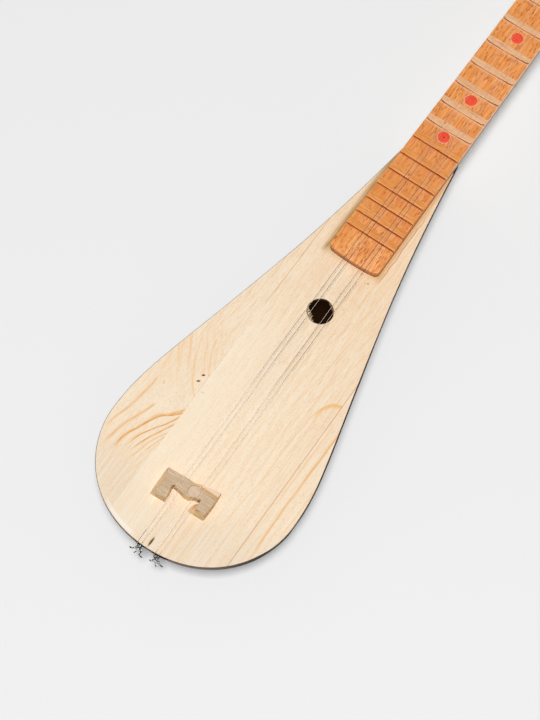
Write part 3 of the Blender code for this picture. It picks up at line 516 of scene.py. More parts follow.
def pine(name, lines, rings, faint, marks):
    """Pine for one board: its drawn lines, its ring number, how faint the rings are, its marks."""
    material, place, shader = start_material(name)
    x, y, z = split(place)
    drift = noise(stretch(place, 7.0, 34.0, 1.0), 2.0)
    shaken = y + (noise(stretch(place, 38.0, 60.0, 1.0), 1.0) - 0.5) * 0.0012
    growth = rings(x, y) + (drift - 0.5) * 1.3
    ring = growth.fraction()
    late = ring.rise(0.40, 0.93) * ring.rise(1.0, 0.88) * faint(x, y)
    bold = late * 0.0
    for line in lines:
        bold = bold.maths("MAXIMUM", bold, grain_line(x, shaken, line))
    uneven = noise(stretch(place, 55.0, 420.0, 1.0), 2.0).rise(0.25, 0.62)
    fibre = noise(stretch(place, 34.0, 760.0, 160.0), 3.0, 0.65)
    hair = noise(stretch(place, 90.0, 1500.0, 300.0), 2.0, 0.6)
    speck = noise(stretch(place, 760.0, 1000.0, 400.0), 2.0, 0.6)
    streak = noise(stretch(place, 16.0, 430.0, 1.0), 1.0)
    tone = noise(stretch(place, 5.0, 60.0, 9.0), 2.0).rise(0.30, 0.75)
    towards_neck = x.rise(0.02, 0.15)
    colour = blend(tone * 0.40 + towards_neck * 0.50, PINE_PALE, PINE_WARM)
    colour = blend(x.rise(-0.100, -0.140) * 0.5, colour, seen(226, 209, 184))
    colour = blend(late, colour, PINE_LINE)
    upper = x.rise(-0.08, 0.06)
    colour = blend(fibre.rise(0.50, 0.74) * (upper * 0.16 + 0.18), colour, PINE_FIBRE)
    colour = blend(hair.rise(0.50, 0.70) * (upper * 0.22 + 0.20), colour, PINE_FIBRE)
    colour = blend(fibre.rise(0.46, 0.28) * 0.20, colour, PINE_LIGHT)
    colour = blend(speck.rise(0.54, 0.68) * 0.40, colour, PINE_PORE)
    by_tail = x.rise(-0.105, -0.140)
    colour = blend(streak.rise(0.52, 0.66) * by_tail * 0.32, colour, seen(240, 230, 218))
    colour = blend(streak.rise(0.46, 0.34) * by_tail * 0.22, colour, seen(232, 190, 146))
    bold = bold * (uneven * 0.30 + 0.70)
    colour = blend(bold, colour, PINE_LINE)
    colour = blend(bold * bold, colour, PINE_CORE)
    beside = abs(y) - ((NUT_X - x) * (BOARD_TAPER / 2) + NUT_HALF_WIDTH)
    smudge = noise(stretch(place, 60.0, 420.0, 1.0), 2.0)
    left = y.rise(-0.005, 0.010)
    along_board = x.rise(0.094, 0.104)
    # Along the left side of the fingerboard the board is painted olive brown: partly grease, partly painted shadow of
    # the fingerboard. Two thin dark lines run beside it.
    grease_and_shadow = beside.rise(0.0072, 0.0018) * along_board * left
    colour = blend(grease_and_shadow * (smudge.rise(0.30, 0.58) * 0.3 + 0.5), colour, GREASE_AND_SHADOW)
    for distance, strength in ((0.0023, 0.75), (0.0038, 0.35)):
        thin_dark_line = beside.bell(distance, 0.0009) * along_board * left
        colour = blend(thin_dark_line * smudge.rise(0.20, 0.45) * strength, colour, seen(150, 112, 58))
    right = (left * -1.0 + 1.0) * along_board
    colour = blend(beside.rise(0.0046, 0.0010) * right * 0.80, colour, seen(214, 164, 110))
    wavy = beside + (noise(stretch(place, 90.0, 60.0, 1.0), 1.0) - 0.5) * 0.0030
    colour = blend(wavy.bell(0.0036, 0.0006) * right * x.rise(0.180, 0.150) * 0.65, colour, seen(132, 104, 72))
    colour = blend(right * x.rise(0.2075, 0.2105), colour, STAIN_DARK)
    colour = marks(x, y, place, colour)
    bare = x.rise(-0.130, -0.116) * x.rise(-0.045, -0.075) * y.rise(-0.02, -0.05)
    below = (z + bare * 0.0003).rise(TOP_Z - 0.00006, TOP_Z - 0.00024)
    from_hole = ((x - HOLE_PLACE[0]) * (x - HOLE_PLACE[0]) + (y - HOLE_PLACE[1]) * (y - HOLE_PLACE[1])).root()
    at_rim = from_hole.rise(HOLE_CLEAR, HOLE_CLEAR + 0.001)
    colour = blend(below * at_rim, colour, blend(x.rise(-0.120, -0.158), STAIN_DARK, seen(112, 84, 70)))
    colour = blend(below * (at_rim * -1.0 + 1.0) * 0.9, colour, BURNT_WALL)
    inside = from_hole.rise(HOLE_RADIUS - 0.0002, HOLE_RADIUS - 0.0007)
    chips = noise(stretch(place, 700.0, 1100.0, 900.0), 1.0)
    torn = blend(chips.rise(0.42, 0.56), seen(226, 204, 168), seen(136, 110, 80))
    # Deeper in the hole and on its right side the torn wood is painted darker: painted shade.
    torn = blend(z.rise(TOP_Z - 0.0012, TOP_Z - 0.0026), torn, seen(88, 64, 40))
    torn = blend(y.rise(-0.002, -0.006) * 0.8, torn, seen(120, 82, 48))
    colour = blend(inside, colour, torn)
    scorched = from_hole.rise(HOLE_RADIUS + 0.0006, HOLE_RADIUS) * (inside * -1.0 + 1.0)
    colour = blend(scorched * 0.22, colour, seen(150, 108, 76))
    height = fibre * 0.5 + hair * 0.4 + late + bold * 1.5 - speck * 0.5
    finish(shader, colour, 0.56 - bold * 0.08, height, 0.00005)
    shader.inputs["Specular IOR Level"].default_value = 0.08
    return material


print("pine is ready to be cut")

# %% [markdown]
# The left board bends twice: its rings leave the seam in arcs that run down to the tail, and a
# second family rises from the seam towards the shoulder. Two small knots lie between them.

# %% Left board
LEFT_ARC = ((-0.140, 0.0600), (-0.126, 0.0608), (-0.114, 0.0610), (-0.101, 0.0570), (-0.093, 0.0536), (-0.083, 0.0478),
            (-0.078, 0.0415), (-0.072, 0.0360))
LEFT_LINES = (
    (1.00, 2.4, 1.2, ((-130, 60), (-118, 61.8), (-108, 60.4), (-101, 57), (-93, 53.6), (-83, 47.8), (-78, 41.8), (-72, 36), (-66, 31))),
    (0.75, 3.4, 1.6, ((-93, 54), (-83, 48.8), (-78, 43), (-70, 36.5), (-64, 31.5))),
    (0.95, 1.5, 0.9, ((-120, 56), (-107, 53.3), (-94, 46.4), (-84, 39.8), (-75, 35.5), (-67, 31))),
    (0.90, 1.4, 0.9, ((-121, 52), (-107, 47.5), (-94, 41.4), (-82, 35.5), (-74, 31))),
    (0.55, 1.2, 0.8, ((-128, 51), (-114, 45.2), (-103, 42.3), (-92, 36.5), (-85, 32))),
    (0.60, 1.0, 0.7, ((-114, 42), (-105, 39.8), (-94, 35.5), (-86, 31))),
    (0.45, 1.0, 0.7, ((-114, 40), (-106, 37.6), (-99, 35.6))),
    (0.62, 2.3, 1.5, ((-130, 71), (-116, 69.2), (-104, 66.8), (-94, 62.8), (-86, 59.7), (-75, 56.2))),
    (0.58, 2.3, 1.5, ((-120, 77.4), (-104, 75.4), (-94, 72.5), (-86, 70.4), (-78, 69.6), (-68, 68.1), (-57, 68))),
    (0.34, 2.2, 1.4, ((-46, 57), (-38.5, 61.6), (-32.3, 64.9), (-26, 68.2), (-20, 71))),
    (0.42, 2.4, 1.6, ((-46, 50), (-36.6, 55.4), (-27.7, 60.1), (-19, 65.2), (-10, 70))),
    (0.34, 1.6, 1.0, ((-42, 49.5), (-30, 53.4), (-19.6, 57.2), (-10, 61))),
    (0.44, 1.8, 1.2, ((-57, 35.8), (-54.5, 37.7), (-47.9, 43.6), (-41, 47.7), (-34.2, 51.9), (-26, 55))),
    (0.44, 1.3, 0.9, ((-41, 38.5), (-39, 39.8), (-32.4, 44), (-24.8, 48.9), (-16, 52))),
    (0.44, 1.3, 0.9, ((-38, 36.4), (-35.4, 37.9), (-27.3, 41.9), (-20.2, 45.8), (-8, 49))),
    (0.28, 2.4, 1.6, ((-56, 68.5), (-47.6, 69.4), (-39.8, 70.4), (-32, 72))),
    (0.34, 1.0, 0.7, ((-38, 40.5), (-30, 45.6), (-22, 50))),
    (0.38, 1.2, 0.8, ((-38, 35.5), (-30, 41.3), (-19, 46.6), (-8, 49))),
    (0.38, 1.0, 0.7, ((-30, 36), (-24, 39.7), (-13, 44.8), (-2, 47))),
    (0.30, 0.9, 0.7, ((-25, 36), (-20, 37.6), (-8, 42), (8, 44))),
    (0.26, 1.2, 0.9, ((-20, 62), (4, 60), (30, 53))),
    (0.22, 1.2, 0.9, ((-5, 54), (20, 50.5), (48, 44))),
    (0.25, 1.4, 0.9, ((-148, 44), (-128, 41), (-112, 36))),
)


def left_rings(x, y):
    return (y - drawn(x, LEFT_ARC)) / 0.0037


def left_faint(x, y):
    return x.bell(-0.108, 0.040) * 0.22 + 0.04


def left_marks(x, y, place, colour):
    turned = place.node("ShaderNodeVectorRotate", {"rotation_type": "Z_AXIS"}, {"Vector": place, "Angle": -0.61})
    fan = noise(stretch(turned, 16.0, 330.0, 1.0), 2.0, 0.6)
    in_fan = x.bell(-0.030, 0.052) * y.rise(0.036, 0.044)
    colour = blend(fan.rise(0.50, 0.72) * in_fan * 0.62, colour, PINE_LINE)
    colour = blend(in_fan * 0.20, colour, PINE_WARM)
    for middle, size in (((-0.0384, 0.0406), (0.0030, 0.0016)), ((-0.0443, 0.0410), (0.0032, 0.0015))):
        colour = blend(spot(x, y, middle, (size[0] * 1.8, size[1] * 1.8), -1.44) * 0.30, colour, PINE_LINE)
        colour = blend(spot(x, y, middle, size, -1.44) * 1.6, colour, KNOT_BROWN)
    dash = spot(x, y, (-0.0596, 0.0616), (0.0026, 0.0008), 0.35)
    colour = blend(dash * 0.40, colour, seen(190, 146, 124))
    return bleached(x, y, colour)


left_pine = pine("pine_left", LEFT_LINES, left_rings, left_faint, left_marks)
print("left board:", len(LEFT_LINES), "drawn lines")

# %% [markdown]
# The middle board is pale and quiet on its left. On its right the lines get stronger, and one
# closes in an arch beside the seam. It also carries what hands left on it: a short dark dent at
# the tail, a faint scratch, and spots of glue at the end of the fingerboard.

# %% Middle board
MIDDLE_LINES = (
    (0.40, 1.4, 0.7, ((-95, -40.5), (-73, -42.3), (-50, -42.5), (-32, -43.4), (-18, -44.8), (-11, -46.4), (-6, -48.2))),
    (0.32, 0.9, 0.6, ((-60, -36.5), (-34, -36), (-14, -37.5), (1, -40.4), (14, -43.3), (31, -48), (50, -51.6), (66, -55))),
    (0.32, 0.9, 0.6, ((-50, -27), (-24, -27), (-7, -29.8), (16, -33.2), (41, -34.8), (62, -39), (84, -47))),
    (0.25, 1.0, 0.6, ((-40, -19.5), (-11, -20.2), (14, -21), (36, -22.8), (60, -30), (90, -38))),
    (0.21, 0.7, 0.6, ((-20, -14.2), (7, -14.7), (32, -15.4), (60, -17), (96, -18))),
    (0.28, 0.9, 0.6, ((-150, -36), (-120, -38.5), (-93, -40.8), (-60, -46))),
    (0.23, 0.7, 0.5, ((-100, -29), (-78, -29.6), (-61, -29.5), (-43, -30.4), (-20, -33))),
    (0.23, 0.7, 0.5, ((-150, -25), (-110, -27), (-70, -25.5), (-30, -24))),
    (0.19, 0.7, 0.5, ((-160, -17), (-120, -18.5), (-80, -17), (-40, -18))),
    (0.25, 0.7, 0.5, ((-140, -47), (-110, -48.5), (-80, -48), (-50, -50.5))),
    (0.32, 0.7, 0.5, ((-60, -52.0), (-48, -48.6), (-36, -48.0), (-26, -49.6), (-19, -52.5), (-14, -57.5))),
    (0.21, 0.7, 0.5, ((66, -0.5), (80, -0.3), (99, 0.2))),
    (0.32, 0.7, 0.5, ((64, -17.8), (80, -17.4), (100, -16.8))),
    (0.28, 0.7, 0.5, ((70, -25.6), (87, -24.2), (112, -22.6))),
    (0.27, 0.7, 0.5, ((78, -31), (91, -29.2), (116, -27.6))),
    (0.27, 0.7, 0.5, ((86, -39), (104, -35.7), (130, -32.6))),
    (0.15, 0.7, 0.5, ((-155, 22), (-110, 24), (-60, 22.5), (0, 24.5), (60, 22))),
    (0.13, 0.7, 0.5, ((-150, 10), (-100, 12.5), (-40, 11.5), (20, 13.5), (80, 12))),
)
ARCH_PLACE = (-0.0155, -0.0590)
ARCH_SIZE = (0.0155, 0.0128)


def middle_rings(x, y):
    return (y - x * 0.04) / 0.0066


def middle_faint(x, y):
    return y.rise(0.010, -0.020) * 0.14 + 0.05


def middle_marks(x, y, place, colour):
    along = (x - ARCH_PLACE[0]) / ARCH_SIZE[0]
    across = (y - ARCH_PLACE[1]) / ARCH_SIZE[1]
    away = (along * along + across * across).root() + (noise(stretch(place, 120.0, 120.0, 1.0)) - 0.5) * 0.10
    arch_line = away.rise(0.74, 0.98) * away.rise(1.12, 1.0) * x.rise(-0.0270, -0.0090)
    colour = blend(arch_line * 0.80, colour, PINE_LINE)
    colour = blend(arch_line * arch_line * 0.18, colour, PINE_CORE)
    quiet = y.rise(0.000, 0.018) * x.rise(0.060, -0.010)
    colour = blend(quiet * 0.30, colour, seen(252, 240, 216))
    dent = spot(x, y, (-0.1638, -0.0030), (0.0062, 0.0017), -0.01)
    colour = blend(dent * 0.5, colour, seen(196, 158, 104))
    dent = spot(x, y, (-0.1642, -0.0030), (0.0052, 0.0011), -0.01)
    colour = blend(dent, colour, seen(92, 72, 36))
    scratch = spot(x, y, (-0.0500, 0.0330), (0.0007, 0.0026), 0.12)
    colour = blend(scratch * 0.40, colour, seen(220, 170, 120))
    colour = bleached(x, y, colour)
    for middle, size in (((0.0975, -0.0105), 0.0008), ((0.0935, -0.0192), 0.0011), ((0.0925, -0.0170), 0.0006)):
        colour = blend(spot(x, y, middle, (size, size * 1.3)) * 0.6, colour, seen(160, 106, 54))
    halo = y.rise(0.0206, 0.0176) * y.rise(0.0080, 0.0120) * x.rise(-0.1352, -0.1322) * x.rise(-0.1100, -0.1130)
    colour = blend(halo * 0.6, colour, seen(226, 186, 136))
    glued = abs(y - LEFT_SEAM_Y).rise(0.0008, 0.0001) * x.rise(0.010, 0.055)
    colour = blend(glued * 0.75, colour, SEAM_BROWN)
    opened = abs(y - RIGHT_SEAM_Y).rise(0.0006, 0.0001)
    colour = blend(opened * 0.60, colour, seen(188, 124, 60))
    # Warm streaks just beside the strings near the tail: painted shadows of the strings.
    for course in (0.0050, 0.0012, -0.0104, -0.0140):
        streak = y.bell(course - 0.0006, 0.0012) * x.rise(-0.166, -0.160) * x.rise(-0.122, -0.132)
        colour = blend(streak * 0.24, colour, seen(230, 186, 146))
    by_strings = y.bell(0.0005, 0.011) * x.rise(-0.10, -0.02) * x.rise(0.08, 0.0)
    worn = noise(stretch(place, 40.0, 1100.0, 1.0), 2.0).rise(0.48, 0.70)
    return blend(worn * by_strings * 0.30, colour, PINE_PORE)


middle_pine = pine("pine_middle", MIDDLE_LINES, middle_rings, middle_faint, middle_marks)
print("middle board:", len(MIDDLE_LINES), "drawn lines")


# %% Right board
RIGHT_LINES = (
    (0.66, 1.8, 1.6, ((-150, -69.8), (-130, -69.2), (-120, -68.6), (-106, -67.9), (-92, -67.8), (-72, -68.1),
                      (-57, -68.1), (-43, -68.6), (-24, -68.8), (-8, -68))),
    (0.30, 1.6, 1.0, ((-115, -76.5), (-97, -78.2), (-75, -78.7), (-60, -77))),
    (0.32, 1.4, 0.9, ((-110, -62), (-88, -61.6), (-64, -61.6), (-40, -61.6), (-10, -62))),
)


def right_rings(x, y):
    return (y + 0.0679) / 0.0061 + (x * x) * 26.0 + x * 5.5


def right_faint(x, y):
    return x.rise(-0.16, -0.06) * 0.06 + 0.06


def right_marks(x, y, place, colour):
    opened = abs(y - RIGHT_SEAM_Y).rise(0.0005, 0.0001)
    return blend(opened * 0.50, colour, seen(188, 124, 60))


right_pine = pine("pine_right", RIGHT_LINES, right_rings, right_faint, right_marks)
print("right board:", len(RIGHT_LINES), "drawn lines")

# %% [markdown]
# The soundboard is three thin boards, sawn flush with the bowl. An outline that starts as one
# face can be sliced at the seams and raised to its thickness, which keeps the three boards
# exactly in line. Their outer edge is rounded a little and was stained together with the bowl, so
# from above it shows as a thin dark line. The left seam is glued shut, and the right one has
# opened by a hair.

# %% The three boards
SEAM_GAP = 0.00001
BOARD_SPANS = {
    "board_left": (LEFT_SEAM_Y + 0.00001, 1.0, left_pine, "soundboard_left"),
    "board_middle": (RIGHT_SEAM_Y + SEAM_GAP / 2, LEFT_SEAM_Y - 0.00001, middle_pine, "soundboard_centre"),
    "board_right": (-1.0, RIGHT_SEAM_Y - SEAM_GAP / 2, right_pine, "soundboard_right"),
}


def cut_board(low_y, high_y):
    """The slice of the soundboard between two seams, with its rim rounded."""
    left_side = half_outline(44, 36, 24)
    outline = left_side + [(x, -y) for x, y in reversed(left_side[1:])]
    board = plate(outline, BOARD_LOW_Z, TOP_Z)
    for plane_y, normal_y in ((low_y, -1.0), (high_y, 1.0)):
        cut = bmesh.ops.bisect_plane(
            board, geom=board.verts[:] + board.edges[:] + board.faces[:], plane_co=(0.0, plane_y, 0.0),
            plane_no=(0.0, normal_y, 0.0), clear_outer=True)["geom_cut"]
        edges = [item for item in cut if isinstance(item, bmesh.types.BMEdge)]
        if edges:
            bmesh.ops.edgeloop_fill(board, edges=edges)
    bmesh.ops.recalc_face_normals(board, faces=board.faces)
    rim = []
    for edge in board.edges:
        middle = (edge.verts[0].co + edge.verts[1].co) / 2
        at_seam = min(abs(middle.y - low_y), abs(middle.y - high_y)) < 1e-5
        if middle.z > TOP_Z - 1e-5 and not at_seam:
            rim.append(edge)
    soften(board, rim, BOARD_EDGE, 1)
    return board


def hole_ring(z, depth):
    """The hole's outline at one height, with the torn wood that reaches in on two sides."""
    ring = []
    for i in range(180):
        turn = 2 * pi * i / 180
        radius = HOLE_RADIUS * (1.0 + 0.008 * sin(3 * turn + 1.0) + 0.006 * sin(7 * turn))
        ragged = 0.74 + 0.13 * sin(17 * turn) + 0.09 * sin(29 * turn + 1.0) + 0.07 * sin(43 * turn + 2.0)
        for middle, reach, inwards in HOLE_TORN:
            off = abs((turn - middle + pi) % (2 * pi) - pi) / reach
            radius -= inwards * depth * ragged * max(0.0, 1.0 - off * off)
        ring.append((HOLE_PLACE[0] + radius * cos(turn), HOLE_PLACE[1] + radius * sin(turn), z))
    return ring


HOLE_TORN = ((radians(140), radians(50), 0.0052), (radians(-36), radians(34), 0.0022))
HOLE_LEVELS = (
    (BOARD_LOW_Z - 0.002, 1.0), (BOARD_LOW_Z + 0.0006, 1.0), (TOP_Z - 0.0014, 0.8), (TOP_Z - 0.0006, 0.35),
    (TOP_Z - 0.0002, 0.05), (TOP_Z + 0.002, 0.0),
)
for name, (low_y, high_y, pine_finish, node) in BOARD_SPANS.items():
    board = cut_board(low_y, high_y)
    if node == "soundboard_centre":
        hole = loft([hole_ring(z, depth) for z, depth in HOLE_LEVELS])
        board = carve(board, hole)
    add_piece(name, board, [pine_finish], "instrument", (node,))
print("three boards, seam open by", SEAM_GAP * 1000, "mm")

# %% [markdown]
# Beech has no bold rings. It has short dark flecks, three or four millimetres long, all lying
# along the piece, and pale and reddish fibres between them. A cell pattern that is stretched along
# the grain gives the flecks: each cell's middle becomes one fleck. The same wood serves for all the
# hard pieces, under different stains.


# %% Beech
def beech(name, pale, deep, fleck, turned=False, roughness=0.4, amount=0.8, extra=None):
    """Beech under a stain; turned lays the grain across the instrument."""
    material, place, shader = start_material(name)
    if turned:
        def lay(along, across, up):
            return stretch(place, across, along, up)
    else:
        def lay(along, across, up):
            return stretch(place, along, across, up)
    fibres = noise(lay(60.0, 900.0, 500.0), 3.0, 0.6)
    clouds = noise(lay(12.0, 70.0, 40.0), 2.0)
    bent = lay(170.0, 980.0, 90.0)
    cells = place.node("ShaderNodeTexVoronoi", {}, {"Vector": bent, "Scale": 1.0, "Randomness": 0.85})
    flecks = cells.rise(0.40, 0.20) * noise(lay(110.0, 300.0, 200.0), 1.0).rise(0.32, 0.48)
    light = fibres.rise(0.44, 0.26)
    colour = blend(fibres.rise(0.36, 0.66), pale, deep)
    colour = blend(clouds.rise(0.35, 0.80) * 0.35, colour, deep)
    colour = blend(light * 0.22, colour, seen(255, 232, 204))
    colour = blend(flecks * amount, colour, fleck)
    if extra is not None:
        colour = extra(place, colour)
    finish(shader, colour, fibres * 0.1 + (roughness - 0.05), fibres * 0.5 - flecks, 0.00005)
    return material


STRING_Y_BRIDGE = (0.00510, 0.00146, -0.01026, -0.01390)
STRING_Y_NUT = (0.00739, 0.00365, -0.00605, -0.00979)


def worn_by_strings(place, colour):
    """Pale bands where the strings are pressed down, and a few old spots."""
    x, y, z = split(place)
    worn = noise(stretch(place, 60.0, 900.0, 1.0), 2.0).rise(0.30, 0.62)
    for at_bridge, at_nut in zip(STRING_Y_BRIDGE, STRING_Y_NUT):
        slope = (at_nut - at_bridge) / STRING_LENGTH
        band = (y - (x - OPEN_LINE_X) * slope).bell(at_bridge, 0.0015)
        colour = blend(band * worn * x.rise(0.42, 0.20) * 0.42, colour, seen(236, 188, 160))
    for middle, size in (((0.1695, 0.0071), 0.0017), ((0.1850, 0.0044), 0.0015), ((0.2389, 0.0061), 0.0013)):
        colour = blend(spot(x, y, middle, (size, size)) * 0.62, colour, seen(122, 80, 46))
    return colour


def before_fret(x):
    """How far a place on the fingerboard lies before the next fret's sharp edge."""
    length = x - OPEN_LINE_X
    number = length.maths("LOGARITHM", STRING_LENGTH / length, 2.0) * 12.0
    return number.fraction() * length * (log(2.0) / 12)


def fingerboard_wear_and_shade(place, colour):
    """The strings' wear, and a dark band before each fret: partly the grime that gathers in the corner, partly painted
    shade.
    """
    x, y, z = split(place)
    colour = worn_by_strings(place, colour)
    heap = noise(stretch(place, 60.0, 260.0, 1.0), 2.0).rise(0.20, 0.55)
    before = before_fret(x)
    towards_right = y.rise(0.024, -0.010) * 0.45 + 0.55
    stained = x.rise(0.224, 0.218)
    # Before each fret the board is painted dark: partly grime in the corner, partly painted shade.
    dirt_and_shade = before.rise(0.00155, 0.00050) * (heap * 0.45 + 0.55) * x.rise(0.110, 0.116) * towards_right * stained
    middle = x.rise(0.115, 0.145) * x.rise(0.27, 0.22)
    colour = blend(middle * 0.30, colour, seen(204, 116, 48))
    behind = before_fret(x - 0.0062).rise(0.0006, 0.0002) * heap * x.rise(0.118, 0.124)
    colour = blend(behind * 0.35, colour, seen(176, 104, 36))
    colour = blend(dirt_and_shade, colour, seen(164, 76, 10))
    scraped = before.rise(0.0026, 0.0008) * heap * (stained * -1.0 + 1.0)
    colour = blend(scraped * 0.75, colour, seen(230, 182, 142))
    side = abs(y) - ((NUT_X - x) * (BOARD_TAPER / 2) + NUT_HALF_WIDTH)
    above_body = x.rise(0.170, 0.240) * (y.rise(0.005, -0.005) * 0.35 + 0.6)
    colour = blend(side.rise(-0.0006, -0.0001) * above_body, colour, seen(244, 212, 186))
    at_end = z.rise(TOP_Z + 0.0060, TOP_Z + 0.0040)
    colour = blend(at_end * 0.75, colour, seen(176, 104, 54))
    return blend(z.rise(TOP_Z + 0.0022, TOP_Z + 0.0008) * 0.85, colour, seen(112, 70, 36))


board_beech = beech(
    "beech_orange", seen(242, 165, 90), seen(218, 128, 54), seen(150, 68, 20), False, 0.45, 0.90, fingerboard_wear_and_shade)
fret_beech = beech(
    "beech_gloss", seen(238, 160, 84), seen(216, 132, 58), seen(176, 96, 36), True, 0.42, 0.55,
    worn_by_strings)
pale_beech = beech(
    "beech_pale", seen(240, 192, 146), seen(222, 166, 118), seen(190, 128, 84), True, 0.46, 0.5,
    worn_by_strings)
# The frets' front faces get a darker finish: partly grime, partly painted shade.
fret_cut = beech("beech_cut", seen(208, 104, 20), seen(178, 82, 8), seen(134, 58, 4), True, 0.8)
pale_cut = beech("beech_pale_cut", seen(214, 158, 112), seen(190, 132, 86), seen(140, 92, 56), True, 0.8)
print("beech in five finishes")

# %% [markdown]
# The fingerboard lies on the neck and runs out over the soundboard, where it ends in a shallow
# curve with rounded corners. Its upper edges were planed off a little. Each fret sits in a seat
# that is cut across the board, and each marker in a round pocket.

# %% Fingerboard
FINGERBOARD_END_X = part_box("fingerboard")[0].x
FINGERBOARD_TOP_Z = TOP_Z + 0.0070
END_BOW = 0.0010
END_CORNER = 0.0042
FRET_WIDTH = 0.0060
SEAT_DEPTH = 0.0010
DOT_FRETS = (5, 7, 10, 12)
DOT_RADIUS = 0.0050
DOT_DEPTH = 0.0014


def dot_x(number):
    """Middle of the space in front of a fret."""
    return (fret_x(number) + FRET_WIDTH + fret_x(number - 1)) / 2


def fingerboard_outline():
    """Outline from the nut round the lower end and back to the nut."""
    half_end = neck_half_width(FINGERBOARD_END_X)
    side = []
    for i in range(9):
        angle = pi / 2 * i / 8
        across = half_end - END_CORNER * (1 - sin(angle))
        bow = END_BOW * (1 - cos(angle)) * 0.0
        side.append((FINGERBOARD_END_X + END_BOW + END_CORNER * (1 - cos(angle)) + bow, across))
    end = []
    for i in range(1, 12):
        across = (half_end - END_CORNER) * (1 - i / 6)
        share = across / (half_end - END_CORNER)
        end.append((FINGERBOARD_END_X + END_BOW * share * share, across))
    left = [(NUT_X - GAP, neck_half_width(NUT_X))] + list(reversed(side))
    right = [(x, -y) for x, y in side] + [(NUT_X - GAP, -neck_half_width(NUT_X))]
    return left + end + right


fingerboard = plate(fingerboard_outline(), TOP_Z + 0.00002, FINGERBOARD_TOP_Z)
upper = [edge for edge in fingerboard.edges if min(vert.co.z for vert in edge.verts) > FINGERBOARD_TOP_Z - 1e-6]
upper = [edge for edge in upper if max(vert.co.x for vert in edge.verts) < NUT_X - 0.01
         or abs(edge.verts[0].co.x - edge.verts[1].co.x) > 0.01]
soften(fingerboard, upper, 0.0006, 3)
seats = bmesh.new()
for number in range(1, FRET_COUNT + 1):
    x = fret_x(number)
    add_box(seats, (x - GAP, -0.05, FINGERBOARD_TOP_Z - SEAT_DEPTH), (x + FRET_WIDTH, 0.05, FINGERBOARD_TOP_Z + 0.01))
fingerboard = carve(fingerboard, seats)
pockets = bmesh.new()
for number in DOT_FRETS:
    low = (dot_x(number), 0.0, FINGERBOARD_TOP_Z - DOT_DEPTH)
    high = (dot_x(number), 0.0, FINGERBOARD_TOP_Z + 0.01)
    add_rod(pockets, low, high, DOT_RADIUS + 0.00045, DOT_RADIUS + 0.00045, 48)
fingerboard = carve(fingerboard, pockets)
add_piece("fingerboard_planed", fingerboard, [board_beech], "instrument", ("fingerboard",))
print("fingerboard with", FRET_COUNT, "seats and", len(DOT_FRETS), "pockets")

# %% [markdown]
# A fret is a wooden wedge: a sharp step on the side of the bridge, sloping down to the board
# behind. The seven lowest are stained like the board and polished by use. The ones above are
# paler, and their front is cut in a slight bow that hooks back at the ends. The step's front face
# gets a darker finish of its own: partly the grime that the step collects, partly painted shade.

# %% Frets
FIRST_STAINED_FRET = 12
FRET_RISE = 0.0012
FRET_FRONT_RISE = 0.0011
FRET_CREST_BACK = 0.0003
FRET_SIDE_MARGIN = 0.0002
PALE_BOW = 0.0007
PALE_HOOK = 0.0009


def fret_wedge(number):
    """One fret: its profile along the neck, carried across the board in steps."""
    x = fret_x(number)
    low = FINGERBOARD_TOP_Z - SEAT_DEPTH + 0.00002
    top = FINGERBOARD_TOP_Z
    profile = [
        (0.0, low), (0.0, top + FRET_FRONT_RISE),
        (FRET_CREST_BACK, top + FRET_RISE), (0.0020, top + 0.00100), (0.0040, top + 0.00050),
        (FRET_WIDTH, top + 0.00002), (FRET_WIDTH, low),
    ]
    source = bmesh.new()
    half = 1.0
    face = source.faces.new([source.verts.new((along, -half, z)) for along, z in profile])
    raised = bmesh.ops.extrude_face_region(source, geom=[face])["geom"]
    moved = [item for item in raised if isinstance(item, bmesh.types.BMVert)]
    bmesh.ops.translate(source, verts=moved, vec=(0.0, 2 * half, 0.0))
    steps = 14
    for i in range(1, steps):
        plane = -half + 2 * half * i / steps
        bmesh.ops.bisect_plane(
            source, geom=source.verts[:] + source.edges[:] + source.faces[:],
            plane_co=(0.0, plane, 0.0), plane_no=(0.0, 1.0, 0.0))
    bmesh.ops.recalc_face_normals(source, faces=source.faces)
    for face in source.faces:
        if face.normal.x < -0.7:
            face.material_index = 1
    pale = number < FIRST_STAINED_FRET
    for vert in source.verts:
        share = vert.co.y
        front = max(0.0, 1.0 - vert.co.x / FRET_WIDTH)
        if pale:
            hook = max(0.0, (abs(share) - 0.80) / 0.20) ** 2
            vert.co.x += (PALE_BOW * (share * share - 0.35) + PALE_HOOK * hook) * front
        rounding = max(0.0, (abs(share) - 0.93) / 0.07) ** 2
        vert.co.z -= max(0.0, vert.co.z - top) * 0.55 * rounding
        vert.co.y = share * (neck_half_width(x + vert.co.x) - FRET_SIDE_MARGIN)
        vert.co.x += x
    return source


for number in range(1, FRET_COUNT + 1):
    stained = number >= FIRST_STAINED_FRET
    finishes = [fret_beech, fret_cut] if stained else [pale_beech, pale_cut]
    slot = "fret_beech" if stained else "pale_fret_beech"
    name = f"fret_{number:02d}"
    add_piece(name + "_wedge", fret_wedge(number), finishes, "instrument", (name,))
print(FRET_COUNT, "frets,", FRET_COUNT - FIRST_STAINED_FRET + 1, "of them stained")

# %% [markdown]
# The markers are red lacquered discs, pressed into their pockets with a ring of pale filler round
# them. They are a little domed and not quite round. The one at the twelfth fret shows the prick
# of the compass in its middle.


# %% Finishes for the markers
def plain(name, pale, deep, roughness, metallic, fineness, coat=0.0):
    """A made finish with a little unevenness."""
    material, place, shader = start_material(name)
    clouds = noise(stretch(place, fineness, fineness, fineness), 3.0)
    colour = blend(clouds.rise(0.35, 0.68), pale, deep)
    shader.inputs["Metallic"].default_value = metallic
    shader.inputs["Coat Weight"].default_value = coat
    finish(shader, colour, clouds * 0.2 + (roughness - 0.1), clouds, 0.00003)
    return material


